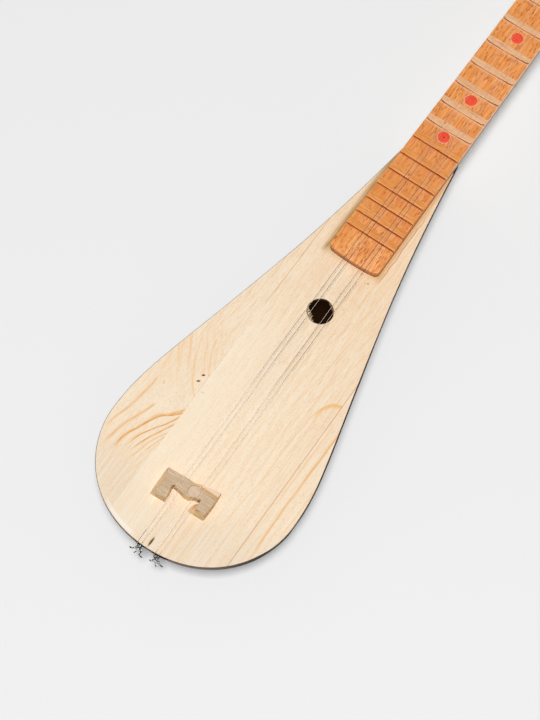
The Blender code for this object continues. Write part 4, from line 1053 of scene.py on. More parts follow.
marker_red = plain("marker_red", seen(238, 79, 42), seen(224, 66, 32), 0.35, 0.0, 500.0)
filler = plain("marker_filler", seen(244, 190, 160), seen(226, 150, 112), 0.6, 0.0, 900.0)
prick = plain("marker_prick", seen(150, 30, 22), seen(120, 24, 18), 0.6, 0.0, 900.0)

# %% Markers
DOT_EDGE = DOT_RADIUS + 0.00040


def marker(number):
    """A turned disc: filler ring, edge and dome, with the compass prick where there is one."""
    top = FINGERBOARD_TOP_Z
    profile = [
        (0.0, top - DOT_DEPTH + 0.00002), (DOT_EDGE, top - DOT_DEPTH + 0.00002), (DOT_EDGE, top + 0.00002),
        (DOT_RADIUS - 0.0001, top + 0.00002), (DOT_RADIUS - 0.0004, top + 0.00012),
        (DOT_RADIUS * 0.6, top + 0.00018), (0.0007, top + 0.0002),
    ]
    if number == FIRST_STAINED_FRET:
        profile += [(0.0006, top + 0.0001), (0.0003, top - 0.0002), (0.0, top - 0.0003)]
    else:
        profile += [(0.0, top + 0.0002)]
    source = bmesh.new()
    chain = [source.verts.new((radius, 0.0, z)) for radius, z in profile]
    edges = [source.edges.new(pair) for pair in zip(chain, chain[1:])]
    bmesh.ops.spin(
        source, geom=chain + edges, cent=(0.0, 0.0, 0.0), axis=(0.0, 0.0, 1.0), angle=2 * pi,
        steps=48, use_merge=True, use_duplicate=False)
    bmesh.ops.remove_doubles(source, verts=source.verts, dist=1e-6)
    bmesh.ops.recalc_face_normals(source, faces=source.faces)
    for face in source.faces:
        middle = face.calc_center_median()
        radius = hypot(middle.x, middle.y)
        face.material_index = 1 if radius > DOT_RADIUS - 0.00012 else 0
        if number == FIRST_STAINED_FRET and radius < 0.0008:
            face.material_index = 2
    for vert in source.verts:
        radius = hypot(vert.co.x, vert.co.y)
        if 0.003 < radius < DOT_RADIUS:
            turn = atan2(vert.co.y, vert.co.x)
            wobble = 1.0 + 0.016 * sin(2 * turn + number) + 0.010 * sin(5 * turn + 2 * number)
            vert.co.x *= wobble
            vert.co.y *= wobble
    bmesh.ops.translate(source, verts=source.verts, vec=(dot_x(number), 0.0, 0.0))
    return source


for number in DOT_FRETS:
    name = f"dot_{number:02d}"
    add_piece(name + "_disc", marker(number), [marker_red, filler, prick], "instrument", (name,))
print(len(DOT_FRETS), "markers")

# %% [markdown]
# The bridge is a small loose block with two legs, whittled by hand: its sides lean outwards, the
# inner edge is scalloped, and one upper edge is planed off. Its upper face has gone grey from
# handling, while the cut sides kept the warm colour of the wood. The strings have worn four
# notches into it.

# %% Bridge finishes
BRIDGE_TOP_Z = TOP_Z + 0.0100
STRING_RADIUS = 0.00025
NOTCH_RADIUS = 0.0006


def bridge_corners(place, colour):
    """Walls that face left painted lighter against their shade, walls lighter towards the foot, and dark spots in the
    two inner corners, partly glue and grime and partly painted shade.
    """
    x, y, z = split(place)
    # The walls that face left, away from the lamp, are painted lighter: painted light that lifts their shade.
    inner_leg = y.rise(-0.0172, -0.0160) * x.rise(-0.1226, -0.1236) * y.rise(0.0, -0.005)
    left_walls_painted_light = (y.rise(0.0138, 0.0146) + inner_leg) * z.rise(BRIDGE_TOP_Z - 0.0002, BRIDGE_TOP_Z - 0.0006)
    colour = blend(left_walls_painted_light * 0.8, colour, seen(255, 214, 158))
    # Dark spots in the two inner corners: partly glue and grime, partly painted shade.
    for middle, size, strength in BRIDGE_CORNER_DIRT_AND_SHADE:
        colour = blend(spot(x, y, middle, size, 0.5) * strength, colour, seen(92, 64, 40))
    low = z.rise(BRIDGE_TOP_Z - 0.0025, TOP_Z + 0.0010)
    outer = y.rise(0.0148, 0.0158) + y.rise(-0.0150, -0.0130) * x.rise(-0.1240, -0.1250) * y.rise(0.0, -0.005)
    return blend(low * outer * 0.75, colour, seen(250, 222, 184))


def bridge_marks(place, colour):
    """A chip's curved edge in the middle of the upper face, and an ochre band beside the planed edge."""
    x, y, z = split(place)
    away = ((x + 0.1180) * (x + 0.1180) + (y + 0.0085) * (y + 0.0085)).root()
    chip = away.bell(0.0046, 0.0006) * x.rise(-0.1225, -0.1195) * y.rise(-0.0112, -0.0085)
    colour = blend(chip * 0.75, colour, seen(150, 100, 56))
    colour = blend(away.rise(0.0046, 0.0040) * 0.35, colour, seen(232, 206, 184))
    # An ochre band beside the planed edge.
    stained = x.rise(-0.1146, -0.1122) * y.rise(-0.0104, -0.0124)
    colour = blend(stained * 0.85, colour, seen(206, 152, 88))
    front = x.rise(-0.1150, -0.1125) * y.rise(0.0010, -0.0040) * y.rise(-0.0125, -0.0105)
    colour = blend(front * 0.55, colour, seen(220, 176, 116))
    return bridge_corners(place, colour)


# Dark spots in the two inner corners: partly glue and grime, partly painted shade.
BRIDGE_CORNER_DIRT_AND_SHADE = (((-0.1224, 0.0060), (0.0008, 0.0017), 0.75), ((-0.1208, -0.0146), (0.0006, 0.0022), 0.55))
bridge_top = beech(
    "bridge_worn", seen(208, 180, 149), seen(186, 157, 124), seen(152, 122, 91), True, 0.6, 0.35,
    bridge_marks)
bridge_side = beech(
    "bridge_cut", seen(228, 194, 144), seen(208, 172, 120), seen(170, 132, 84), True, 0.65, 0.5,
    bridge_corners)
bridge_bevel = beech("bridge_planed", seen(244, 220, 194), seen(232, 200, 166), seen(206, 162, 116), True, 0.6, 0.4)
print("three faces of one small block")

# %% Bridge block
BRIDGE_PLACE = (-0.1115, -0.0044)
# Corners from the left front round the legs: place of the upper edge, and how far the foot stands out
BRIDGE_PLAN = (
    (-0.0021, 0.0218, 0.0004, 0.0028), (-0.0063, 0.0202, 0.0, 0.0042), (-0.0101, 0.0190, 0.0, 0.0052),
    (-0.0146, 0.0188, 0.0, 0.0054), (-0.0192, 0.0191, -0.0002, 0.0050), (-0.0237, 0.0198, -0.0004, 0.0038),
    (-0.0219, 0.0099, -0.0013, 0.0010), (-0.0172, 0.0107, -0.0006, 0.0006), (-0.0127, 0.0119, 0.0, 0.0),
    (-0.0110, 0.0117, 0.0, 0.0), (-0.0111, 0.0096, -0.0003, 0.0), (-0.0116, 0.0053, -0.0004, 0.0),
    (-0.0127, 0.0009, -0.0004, 0.0), (-0.0122, -0.0028, -0.0004, 0.0), (-0.0098, -0.0062, -0.0003, 0.0),
    (-0.0095, -0.0108, 0.0, 0.0002), (-0.0088, -0.0121, 0.0, 0.0006), (-0.0123, -0.0121, -0.0004, 0.0046),
    (-0.0161, -0.0122, -0.0034, 0.0056), (-0.0168, -0.0207, -0.0020, 0.0002), (-0.0108, -0.0208, 0.0, 0.0),
    (-0.0053, -0.0209, 0.0, 0.0), (0.0038, -0.0208, 0.0010, 0.0010), (0.0031, -0.0158, 0.0, 0.0),
    (0.0017, -0.0079, 0.0, 0.0), (-0.0008, -0.0017, 0.0, 0.0), (-0.0010, 0.0080, 0.0, 0.0),
    (-0.0018, 0.0164, 0.0004, 0.0),
)
PLANED_X = -0.0003
PLANED_Y = -0.0068
PLANED_TILT = radians(24)


def bridge_block():
    """The plan raised to the bridge's height, its foot spread, its front right edge planed."""
    corners = [(BRIDGE_PLACE[0] + x, BRIDGE_PLACE[1] + y) for x, y, _, _ in BRIDGE_PLAN]
    block = plate(corners, TOP_Z + GAP, BRIDGE_TOP_Z)
    for vert in block.verts:
        if vert.co.z < TOP_Z + 0.001:
            index = min(range(len(corners)), key=lambda i: hypot(vert.co.x - corners[i][0], vert.co.y - corners[i][1]))
            vert.co.x += BRIDGE_PLAN[index][2]
            vert.co.y += BRIDGE_PLAN[index][3]
    bmesh.ops.recalc_face_normals(block, faces=block.faces)
    planer = bmesh.new()
    verts = add_box(planer, (0.0, -0.03, 0.0), (0.02, 0.0, 0.01))
    place = Matrix.Translation((BRIDGE_PLACE[0] + PLANED_X, BRIDGE_PLACE[1] + PLANED_Y, BRIDGE_TOP_Z))
    bmesh.ops.transform(planer, matrix=place @ Matrix.Rotation(PLANED_TILT, 4, "Y"), verts=verts)
    block = carve(block, planer)
    notches = bmesh.new()
    for y in STRING_Y_BRIDGE:
        low = (BRIDGE_PLACE[0] - 0.03, y, BRIDGE_TOP_Z)
        high = (BRIDGE_PLACE[0] + 0.02, y, BRIDGE_TOP_Z)
        add_rod(notches, low, high, NOTCH_RADIUS, NOTCH_RADIUS, 16)
    block = carve(block, notches)
    for face in block.faces:
        in_notch = abs(face.normal.x) < 0.1 and face.calc_center_median().z > BRIDGE_TOP_Z - NOTCH_RADIUS - 0.0001
        if face.normal.z > 0.95 or (in_notch and face.normal.z > 0.05):
            face.material_index = 0
        elif face.normal.z > 0.4 and face.normal.x > 0.2:
            face.material_index = 2
        else:
            face.material_index = 1
    return block


add_piece(
    "bridge_block", bridge_block(), [bridge_top, bridge_side, bridge_bevel], "instrument",
    ("bridge",), 30.0)
print("bridge", round((BRIDGE_TOP_Z - TOP_Z) * 1000, 1), "mm high")

# %% [markdown]
# The bowl is carved from one block. Its sections are rounded rather than round, its deepest
# line runs level under the belly and rises to the neck, and a flat was planed on the back so
# that it rests without rocking. Each section becomes a ring of points, and rings are joined into
# a body.

# %% Sections and rings
BOWL_WALL = 0.0045
BOWL_FLOOR = 0.0060
BOWL_SQUARENESS = 2.3
REST_FLAT_CUT = 0.0012
KEEL_START_X = TAIL_X + 0.105
KEEL_END_X = TAIL_X + 0.200
NECK_DEPTH_AT_JOINT = 0.024


def keel_depth(x):
    """Depth of the bowl's lowest line below its rim."""
    full = RIM_Z + REST_FLAT_CUT
    joint = NECK_DEPTH_AT_JOINT - (TOP_Z - RIM_Z)
    if x < KEEL_START_X:
        share = min((KEEL_START_X - x) / (KEEL_START_X - TAIL_X), 1.0)
        return full * sqrt(1.0 - share ** 2)
    if x < KEEL_END_X:
        return full
    share = min((x - KEEL_END_X) / (JOINT_X - KEEL_END_X), 1.0)
    return joint + (full - joint) * (1.0 + cos(pi * share)) / 2


def arch(half_width, depth, squareness, steps):
    """Rounded lower half of a section as (y, z) points, from the left edge to the right."""
    points = []
    for i in range(steps + 1):
        angle = pi * i / steps
        across = abs(cos(angle)) ** (2 / squareness)
        down = sin(angle) ** (2 / squareness) if 0 < i < steps else 0.0
        points.append((half_width * (across if cos(angle) > 0 else -across), -depth * down))
    return points


print("bowl depth under the bridge:", round(keel_depth(-0.1115) * 1000, 1), "mm")

# %% [markdown]
# The outside wears a dark stain under a clear varnish, so it gets a coat that catches the lamp.
# Where hands hold it the varnish is polished to a higher gloss. The inside was never finished.

# %% Bowl finishes
def varnished(name, pale, deep, streak, grain, roughness, coat):
    """Stained wood under varnish, its grain along the instrument."""
    material, place, shader = start_material(name)
    fibres = noise(stretch(place, grain, grain * 26.0, grain * 26.0), 4.0, 0.6)
    clouds = noise(stretch(place, grain * 0.9, grain * 2.2, grain * 2.2), 3.0)
    ring_place = noise(stretch(place, grain * 0.35, grain * 5.0, grain * 5.0), 1.0)
    rings = (ring_place * 9.0).fraction()
    colour = blend(clouds.rise(0.34, 0.70), pale, deep)
    colour = blend(rings.rise(0.55, 0.96) * rings.rise(1.0, 0.96) * 0.55, colour, streak)
    colour = blend(fibres.rise(0.45, 0.72) * 0.5, colour, streak)
    x, y, z = split(place)
    deep_down = z.rise(RIM_Z - 0.009, RIM_Z - 0.022)
    polished = deep_down.maths("MAXIMUM", deep_down, x.rise(-0.135, -0.160) * 0.8)
    material.node_tree.links.new((polished * coat).output, shader.inputs["Coat Weight"])
    shader.inputs["Coat Roughness"].default_value = 0.16
    shader.inputs["Specular IOR Level"].default_value = 0.2
    finish(shader, colour, clouds * 0.12 + roughness + 0.25 - polished * 0.25, fibres + clouds * 2.0, 0.00006)
    return material


bowl_stain = varnished("bowl_stain", seen(58, 38, 29), seen(35, 24, 20), seen(20, 14, 12), 14.0, 0.36, 0.3)
bowl_inside = plain("bowl_inside", seen(18, 9, 5), seen(13, 7, 4), 0.95, 0.0, 120.0)
inside_shader = bowl_inside.node_tree.nodes["Principled BSDF"]
inside_shader.inputs["Specular IOR Level"].default_value = 0.0
# The inside also glows faintly: painted light, so that the hollow seen through the hole stays an even dark brown.
inside_shader.inputs["Emission Color"].default_value = seen(26, 13, 5)
inside_shader.inputs["Emission Strength"].default_value = 1.0
print("bowl finishes are ready")

# %% Bowl
TAIL_BLOCK = 0.016
NECK_BLOCK = 0.052
PIN_Z = TOP_Z - 0.0090
PIN_RADIUS = 0.0013
PIN_BURIED = 0.0100
COURSE_CENTRES = (0.00328, -0.01208)
TENON = ((JOINT_X - 0.030, -0.012, RIM_Z - 0.015), (JOINT_X + 0.0078, 0.012, RIM_Z - GAP))
BOWL_RIM_Z = BOARD_LOW_Z - 0.00002
RIM_LIP = 0.0003
JOINT_LIP = 0.0001


def lip(x):
    """How far the bowl's right side stands out beyond the soundboard."""
    belly = min(max((x + 0.115) / 0.03, 0.0), 1.0) * min(max((0.070 - x) / 0.04, 0.0), 1.0)
    joint = min(max((x - 0.190) / 0.022, 0.0), 1.0)
    return RIM_LIP * belly + JOINT_LIP * joint


def bowl_block():
    """The outside of the bowl as a solid block."""
    rings = []
    for x, half_width in side_line[1:]:
        wider = min(half_width + lip(x), BODY_HALF_WIDTH) / half_width
        section = [(half_width, BOWL_RIM_Z - RIM_Z)] + arch(half_width, keel_depth(x), BOWL_SQUARENESS, 56)
        section += [(-half_width, BOWL_RIM_Z - RIM_Z)]
        rings.append([(x, y if y > 0.0 else y * wider, max(RIM_Z + z, 0.0)) for y, z in section])
    return loft(rings)


def bowl_hollow():
    """What was scooped out of the block."""
    first = TAIL_X + TAIL_BLOCK
    last = JOINT_X - NECK_BLOCK
    steps = 34
    probe = 0.001
    rings = []
    for i in range(steps + 1):
        x = first + (last - first) * (1.0 - cos(pi * i / steps)) / 2
        slope = (body_half_width(x + probe) - body_half_width(x - probe)) / (2 * probe)
        sink = (keel_depth(x + probe) - keel_depth(x - probe)) / (2 * probe)
        half_width = body_half_width(x) - BOWL_WALL * hypot(1.0, slope)
        depth = min(keel_depth(x), RIM_Z) - BOWL_FLOOR * hypot(1.0, sink)
        ring = [(x, y, RIM_Z + z) for y, z in arch(half_width, depth, BOWL_SQUARENESS, 40)]
        rings.append(ring + [(x, -half_width, TOP_Z), (x, half_width, TOP_Z)])
    return loft(rings)


bowl = carve(bowl_block(), bowl_hollow())
mortise = bmesh.new()
add_box(mortise, (TENON[0][0] - 0.0001, -0.0121, TENON[0][2] - 0.0001), (JOINT_X + 0.03, 0.0121, TOP_Z))
bowl = carve(bowl, mortise)
bores = bmesh.new()
for y in COURSE_CENTRES:
    add_rod(bores, (TAIL_X - 0.01, y, PIN_Z), (TAIL_X + PIN_BURIED, y, PIN_Z), PIN_RADIUS + 0.0001, PIN_RADIUS + 0.0001, 24)
bowl = carve(bowl, bores)
for face in bowl.faces:
    middle = face.calc_center_median()
    inward = Vector((0.0, -middle.y, RIM_Z - middle.z))
    face.material_index = 1 if face.normal.dot(inward) > 0.0 and face.normal.z > -0.9 else 0
add_piece("bowl_carved", bowl, [bowl_stain, bowl_inside], "instrument", ("bowl",))
print("bowl with walls of", BOWL_WALL * 1000, "mm")

# %% [markdown]
# The neck and the head are one piece. The neck is a rounded bar that gets thinner towards the
# nut. Behind the nut it turns down and becomes squarer, and a long slot for the strings is cut
# into its face. Each ring of the skin is set in a frame of its own, level along the neck and
# tilted along the head.

# %% Neck and head sizes
NUT_THICKNESS = 0.005
PEGBOX_X = NUT_X + NUT_THICKNESS + 2 * GAP
PEGBOX_LENGTH = 0.118
PEGBOX_START_HALF_WIDTH = 0.0172
PEGBOX_END_HALF_WIDTH = 0.0140
PEGBOX_START_DEPTH = 0.0195
PEGBOX_END_DEPTH = 0.0165
PEGBOX_FOOT_CUT = 0.0008
TIP_ROUND = 0.012
TIP_NARROW = 0.45
HEAD_EDGE = 0.0008
NECK_DEPTH_AT_NUT = 0.017
NECK_SQUARENESS = 2.2
HEAD_SQUARENESS = 5.0
SLOT_START = 0.011
SLOT_END = PEGBOX_LENGTH - 0.011
SLOT_HALF_WIDTH = 0.0080
SLOT_DEPTH = 0.0130
PEG_AXIS_DEPTH = 0.0068
PEG_SPACING = 0.023
PEGBOX_ANGLE = asin(TOP_Z / hypot(PEGBOX_LENGTH, PEGBOX_END_DEPTH)) - atan2(PEGBOX_END_DEPTH, PEGBOX_LENGTH)
HEAD_FRAME = Matrix.Translation((PEGBOX_X, 0.0, TOP_Z)) @ Matrix.Rotation(PEGBOX_ANGLE, 4, "Y")


def head_half_width(along):
    """Half the head's width at a place along it, rounded in at its tip."""
    share = along / PEGBOX_LENGTH
    half_width = PEGBOX_START_HALF_WIDTH + (PEGBOX_END_HALF_WIDTH - PEGBOX_START_HALF_WIDTH) * share
    round_share = min(max(0.0, 1.0 - (PEGBOX_LENGTH - along) / TIP_ROUND), 1.0)
    return half_width * (1.0 - TIP_NARROW * (1.0 - sqrt(1.0 - round_share ** 2)))


def head_section(half_width, depth, squareness, edge):
    """A closed section: the rounded back, and a flat face with eased edges."""
    points = [(y, z - edge) for y, z in arch(half_width, depth - edge, squareness, 44)]
    for i in range(1, 4):
        angle = pi / 2 * i / 3
        points.append((-half_width + edge * (1 - cos(angle)), -edge * (1 - sin(angle))))
    points.append((0.0, 0.0))
    for i in range(3, 0, -1):
        angle = pi / 2 * i / 3
        points.append((half_width - edge * (1 - cos(angle)), -edge * (1 - sin(angle))))
    return points


def peg_x(index):
    """Distance along the head of one peg's axis."""
    return 0.0240 + PEG_SPACING * index


def peg_radius(along):
    """Radius of a tapered peg at a distance from the head's middle, towards its handle."""
    share = (PEGBOX_START_HALF_WIDTH - along) / (2 * PEGBOX_START_HALF_WIDTH)
    return 0.0044 - 0.0008 * share


PEG_SIDES = (1, -1, 1, -1)
print("head bent back by", round(PEGBOX_ANGLE * 180 / pi, 1), "degrees")

# %% Neck and head
def neck_rings():
    """Rings from the joint to the tip of the head."""
    rings = []
    start = JOINT_X + 0.0001
    end = PEGBOX_X - 0.012
    for i in range(33):
        share = i / 32
        x = start + (end - start) * share
        depth = NECK_DEPTH_AT_JOINT + (NECK_DEPTH_AT_NUT - NECK_DEPTH_AT_JOINT) * share
        section = head_section(neck_half_width(x), depth, NECK_SQUARENESS, HEAD_EDGE / 4)
        rings.append([(x, y, max(TOP_Z + z, 0.0)) for y, z in section])
    stations = [SLOT_START * i / 6 for i in range(6)]
    stations += [SLOT_START + (PEGBOX_LENGTH - TIP_ROUND - SLOT_START) * i / 24 for i in range(24)]
    stations += [PEGBOX_LENGTH - 0.0001 - TIP_ROUND * (1.0 - sin(pi / 2 * i / 12)) for i in range(13)]
    for along in stations:
        share = along / PEGBOX_LENGTH
        depth = PEGBOX_START_DEPTH + (PEGBOX_END_DEPTH + PEGBOX_FOOT_CUT - PEGBOX_START_DEPTH) * share
        boxed = min(1.0, 0.35 + along / SLOT_START * 0.65)
        squareness = NECK_SQUARENESS + (HEAD_SQUARENESS - NECK_SQUARENESS) * boxed
        section = head_section(head_half_width(along), depth, squareness, HEAD_EDGE)
        ring = [HEAD_FRAME @ Vector((along, y, z)) for y, z in section]
        rings.append([(point.x, point.y, max(point.z, 0.0)) for point in ring])
    return rings


neck = loft(neck_rings())
slot = bmesh.new()
slot_verts = add_box(slot, (SLOT_START, -SLOT_HALF_WIDTH, -SLOT_DEPTH), (SLOT_END, SLOT_HALF_WIDTH, 0.02))
upright = [edge for edge in slot.edges if abs(edge.verts[0].co.z - edge.verts[1].co.z) > SLOT_DEPTH]
soften(slot, upright, SLOT_HALF_WIDTH * 0.7, 8)
bottom = [edge for edge in slot.edges if max(vert.co.z for vert in edge.verts) < -SLOT_DEPTH + 1e-6]
soften(slot, bottom, 0.0012, 3)
bmesh.ops.transform(slot, matrix=HEAD_FRAME, verts=slot.verts)
neck = carve(neck, slot)
peg_holes = bmesh.new()
for index, side in enumerate(PEG_SIDES):
    reach = 0.03
    near = HEAD_FRAME @ Vector((peg_x(index), side * reach, -PEG_AXIS_DEPTH))
    far = HEAD_FRAME @ Vector((peg_x(index), -side * reach, -PEG_AXIS_DEPTH))
    add_rod(peg_holes, near, far, peg_radius(reach) + 0.00012, peg_radius(-reach) + 0.00012, 48)
neck = carve(neck, peg_holes)
tenon = bmesh.new()
add_box(tenon, *TENON)
neck = carve(neck, tenon, "UNION")
neck_maple = beech(
    "neck_pale", seen(222, 208, 190), seen(202, 186, 164), seen(168, 146, 122), False, 0.42, 0.45)
add_piece("neck_carved", neck, [neck_maple], "instrument", ("neck",))
print("neck and head with", len(PEG_SIDES), "peg holes")

# %% Nut
NUT_TOP_Z = FINGERBOARD_TOP_Z + 0.0026
NUT_NOTCH = 0.0005


def nut_bar():
    """A bar with four round notches, lower towards the head."""
    half_width = neck_half_width(NUT_X)
    rings = []
    for x, top, ease in (
            (NUT_X + 0.0001, NUT_TOP_Z - 0.0004, 0.0004), (NUT_X + 0.0005, NUT_TOP_Z, 0.0006),
            (NUT_X + 0.0028, NUT_TOP_Z - 0.0001, 0.0006), (NUT_X + NUT_THICKNESS, NUT_TOP_Z - 0.0009, 0.0006)):
        outline = [(-half_width, TOP_Z + 0.0001), (half_width, TOP_Z + 0.0001), (half_width, top - ease)]
        outline.append((half_width - ease, top))
        for y in STRING_Y_NUT:
            for i in range(9):
                angle = pi * i / 8
                outline.append((y + NUT_NOTCH * cos(angle), top - NUT_NOTCH * 1.1 * sin(angle)))
        outline += [(-half_width + ease, top), (-half_width, top - ease)]
        rings.append([(x, y, z) for y, z in outline])
    return loft(rings)


nut_wood = beech("nut_pale", seen(232, 214, 184), seen(214, 192, 158), seen(180, 152, 118), True, 0.4, 0.4)
add_piece("nut_bar", nut_bar(), [nut_wood], "instrument", ("nut",))
print("nut", NUT_THICKNESS * 1000, "mm thick")

# %% [markdown]
# A peg is turned on a lathe and its handle is then flattened with a knife. So the profile is spun
# first, and the handle's points are squeezed afterwards. Each peg turns on its own, so it rides on
# its own body, and so does the wire wound on it.

# %% Pegs
PEG_TIP_STANDOUT = 0.003
PEG_COLLAR_RADIUS = 0.0062
PEG_HANDLE_LENGTH = 0.027
PEG_HANDLE_RADIUS = 0.0068
PEG_HOLE_RADIUS = 0.0007
PEG_BODIES = ("first_peg", "second_peg", "third_peg", "fourth_peg")
# Shares of the handle's length and of its greatest radius
HANDLE_SHAPE = (
    (0.00, 0.56), (0.05, 0.58), (0.12, 0.70), (0.22, 0.86), (0.33, 0.96), (0.45, 1.00), (0.56, 0.98),
    (0.66, 0.91), (0.75, 0.78), (0.82, 0.62), (0.865, 0.44), (0.89, 0.34), (0.92, 0.35), (0.95, 0.335),
    (0.98, 0.24), (0.995, 0.10), (1.0, 0.0),
)
WINDING_LOOPS = 3.5
WINDING_PITCH = 0.00105
WINDING_RADIUS = 0.0044 + GAP + STRING_RADIUS
WINDING_PLACES = (0.0045, 0.0018, -0.0030, -0.0048)
PEG_FOR_STRING = (0, 2, 3, 1)
NUT_STRING_Z = NUT_TOP_Z + GAP + STRING_RADIUS - 0.0006


def leaves_nut(string):
    """Where a string leaves the nut, in the head's frame."""
    return HEAD_FRAME.inverted() @ Vector((NUT_X + NUT_THICKNESS, STRING_Y_NUT[string], NUT_STRING_Z))


def start_angle(index):
    """Angle round the peg at which the straight string touches its winding."""
    run = leaves_nut(PEG_FOR_STRING.index(index)) - Vector((peg_x(index), 0.0, -PEG_AXIS_DEPTH))
    return atan2(run.z, run.x) - (pi / 2 - asin(WINDING_RADIUS / hypot(run.x, run.z)))


def wound(index, turned):
    """A point of the winding, from the peg's middle, at an angle from where it starts on top."""
    place = WINDING_PLACES[PEG_FOR_STRING.index(index)]
    away = -1.0 if place > 0 else 1.0
    y = place + away * WINDING_PITCH * (turned / (2 * pi) - WINDING_LOOPS / 2)
    angle = start_angle(index) - turned
    return Vector((WINDING_RADIUS * cos(angle), y, WINDING_RADIUS * sin(angle)))


def hole_direction(index):
    """Outward direction in which the peg's hole opens under the winding's end."""
    angle = start_angle(index) - 2 * pi * WINDING_LOOPS - 0.10
    return Vector((cos(angle), 0.0, sin(angle)))


def peg_blank(index, side):
    """A turned peg with its handle flattened and its hole drilled, in the head's place."""
    cheek = head_half_width(peg_x(index))
    tip = -cheek - PEG_TIP_STANDOUT
    collar = cheek + 2 * GAP
    handle = collar + 0.006
    profile = [
        (0.0, tip), (peg_radius(tip) - 0.0012, tip), (peg_radius(tip) - 0.0003, tip + 0.0004),
        (peg_radius(tip), tip + 0.0012), (peg_radius(0.0), 0.0), (peg_radius(collar), collar),
        (PEG_COLLAR_RADIUS - 0.0003, collar + 0.0002), (PEG_COLLAR_RADIUS, collar + 0.0007),
        (PEG_COLLAR_RADIUS - 0.0002, collar + 0.0012), (PEG_COLLAR_RADIUS - 0.0004, collar + 0.0014),
        (PEG_COLLAR_RADIUS - 0.0002, collar + 0.0016), (PEG_COLLAR_RADIUS, collar + 0.0021),
        (PEG_COLLAR_RADIUS - 0.0004, collar + 0.0027), (0.0046, collar + 0.0033), (0.0041, collar + 0.0043),
        (0.0038, collar + 0.0052),
    ]
    for share, wide in HANDLE_SHAPE:
        profile.append((PEG_HANDLE_RADIUS * wide, handle + PEG_HANDLE_LENGTH * share))
    source = bmesh.new()
    chain = [source.verts.new((radius, along, 0.0)) for radius, along in profile]
    edges = [source.edges.new(pair) for pair in zip(chain, chain[1:])]
    bmesh.ops.spin(
        source, geom=chain + edges, cent=(0.0, 0.0, 0.0), axis=(0.0, 1.0, 0.0), angle=2 * pi,
        steps=48, use_merge=True, use_duplicate=False)
    bmesh.ops.remove_doubles(source, verts=source.verts, dist=1e-6)
    for vert in source.verts:
        squeeze = min(max((vert.co.y - handle) / (PEG_HANDLE_LENGTH * 0.22), 0.0), 1.0)
        squeeze = squeeze * squeeze * (3 - 2 * squeeze)
        vert.co.x *= 1.0 + 0.45 * squeeze
        vert.co.z *= 1.0 - 0.48 * squeeze
        vert.co.x *= side
        vert.co.y *= side
    bmesh.ops.recalc_face_normals(source, faces=source.faces)
    outward = hole_direction(index)
    last = Vector((0.0, wound(index, 2 * pi * WINDING_LOOPS).y, 0.0))
    drill = bmesh.new()
    add_rod(drill, last + outward * 0.012, last - outward * 0.0035, PEG_HOLE_RADIUS, PEG_HOLE_RADIUS, 20)
    source = carve(source, drill)
    bmesh.ops.transform(source, matrix=peg_frame(index), verts=source.verts)
    return source


def peg_frame(index):
    """The peg's middle, turned with the head."""
    return HEAD_FRAME @ Matrix.Translation((peg_x(index), 0.0, -PEG_AXIS_DEPTH))


def turned_wood(name, pale, deep, streak):
    """Dark polished wood, its grain across the instrument, along the pegs."""
    material, place, shader = start_material(name)
    fibres = noise(stretch(place, 700.0, 40.0, 700.0), 4.0, 0.6)
    clouds = noise(stretch(place, 160.0, 30.0, 160.0), 2.0)
    colour = blend(clouds.rise(0.35, 0.70), pale, deep)
    colour = blend(fibres.rise(0.45, 0.75) * 0.7, colour, streak)
    shader.inputs["Coat Weight"].default_value = 0.3
    shader.inputs["Coat Roughness"].default_value = 0.12
    finish(shader, colour, clouds * 0.15 + 0.25, fibres, 0.00003)
    return material


peg_wood = turned_wood("peg_polished", seen(96, 56, 34), seen(66, 37, 24), seen(34, 19, 13))
for index, side in enumerate(PEG_SIDES):
    add_piece(
        f"peg_turned_{index + 1}", peg_blank(index, side), [peg_wood], PEG_BODIES[index],
        (f"peg_{index + 1}",))
print(len(PEG_SIDES), "pegs, the wire of string 1 on peg", PEG_FOR_STRING[0] + 1)

# %% [markdown]
# Wire is a round profile swept along a line of points. Bends are rounded with a curve through
# their points, so that the wire never folds. The steel's colour is painted along it: black and
# white patches at the tail, which are painted reflections, a warm pale over the soundboard, dark
# further up, a light painted reflection over the hole and brown to orange over the fingerboard.
# Over the soundboard it also glows faintly, a painted glint of the lamp.


# %% Wire
WIRE_RADIUS = 0.00012
TAIL_SWELL = 2.8


def through(points, steps):
    """A smooth line through points, a few steps on each stretch."""
    points = [Vector(point) for point in points]
    line = []
    for i in range(len(points) - 1):
        before = points[max(i - 1, 0)]
        after = points[min(i + 2, len(points) - 1)]
        near, far = points[i], points[i + 1]
        reach = (far - near).length / 3
        leave = (far - before).normalized() * reach
        arrive = (after - near).normalized() * reach
        line += interpolate_bezier(near, near + leave, far - arrive, far, steps + 1)[:-1]
    return line + [points[-1]]


def wire(lines, radius, sides=3):
    """A bmesh of round wire with closed ends along one or more lines."""
    curve = bpy.data.curves.new("wire", "CURVE")
    curve.dimensions = "3D"
    curve.bevel_depth = radius
    curve.bevel_resolution = sides
    curve.use_fill_caps = True
    for line in lines:
        spline = curve.splines.new("POLY")
        spline.points.add(len(line) - 1)
        for slot, point in zip(spline.points, line):
            slot.co = (*point, 1.0)
            slot.radius = TAIL_SWELL if point[0] < TAIL_X else 1.0
    draft = bpy.data.objects.new("wire", curve)
    bpy.context.scene.collection.objects.link(draft)
    mesh = bpy.data.meshes.new_from_object(draft.evaluated_get(bpy.context.evaluated_depsgraph_get()))
    source = bmesh.new()
    source.from_mesh(mesh)
    bpy.data.objects.remove(draft)
    return source


HOLE_SEEN = (HOLE_PLACE[0] - 0.0035, HOLE_PLACE[1] - 0.0014)


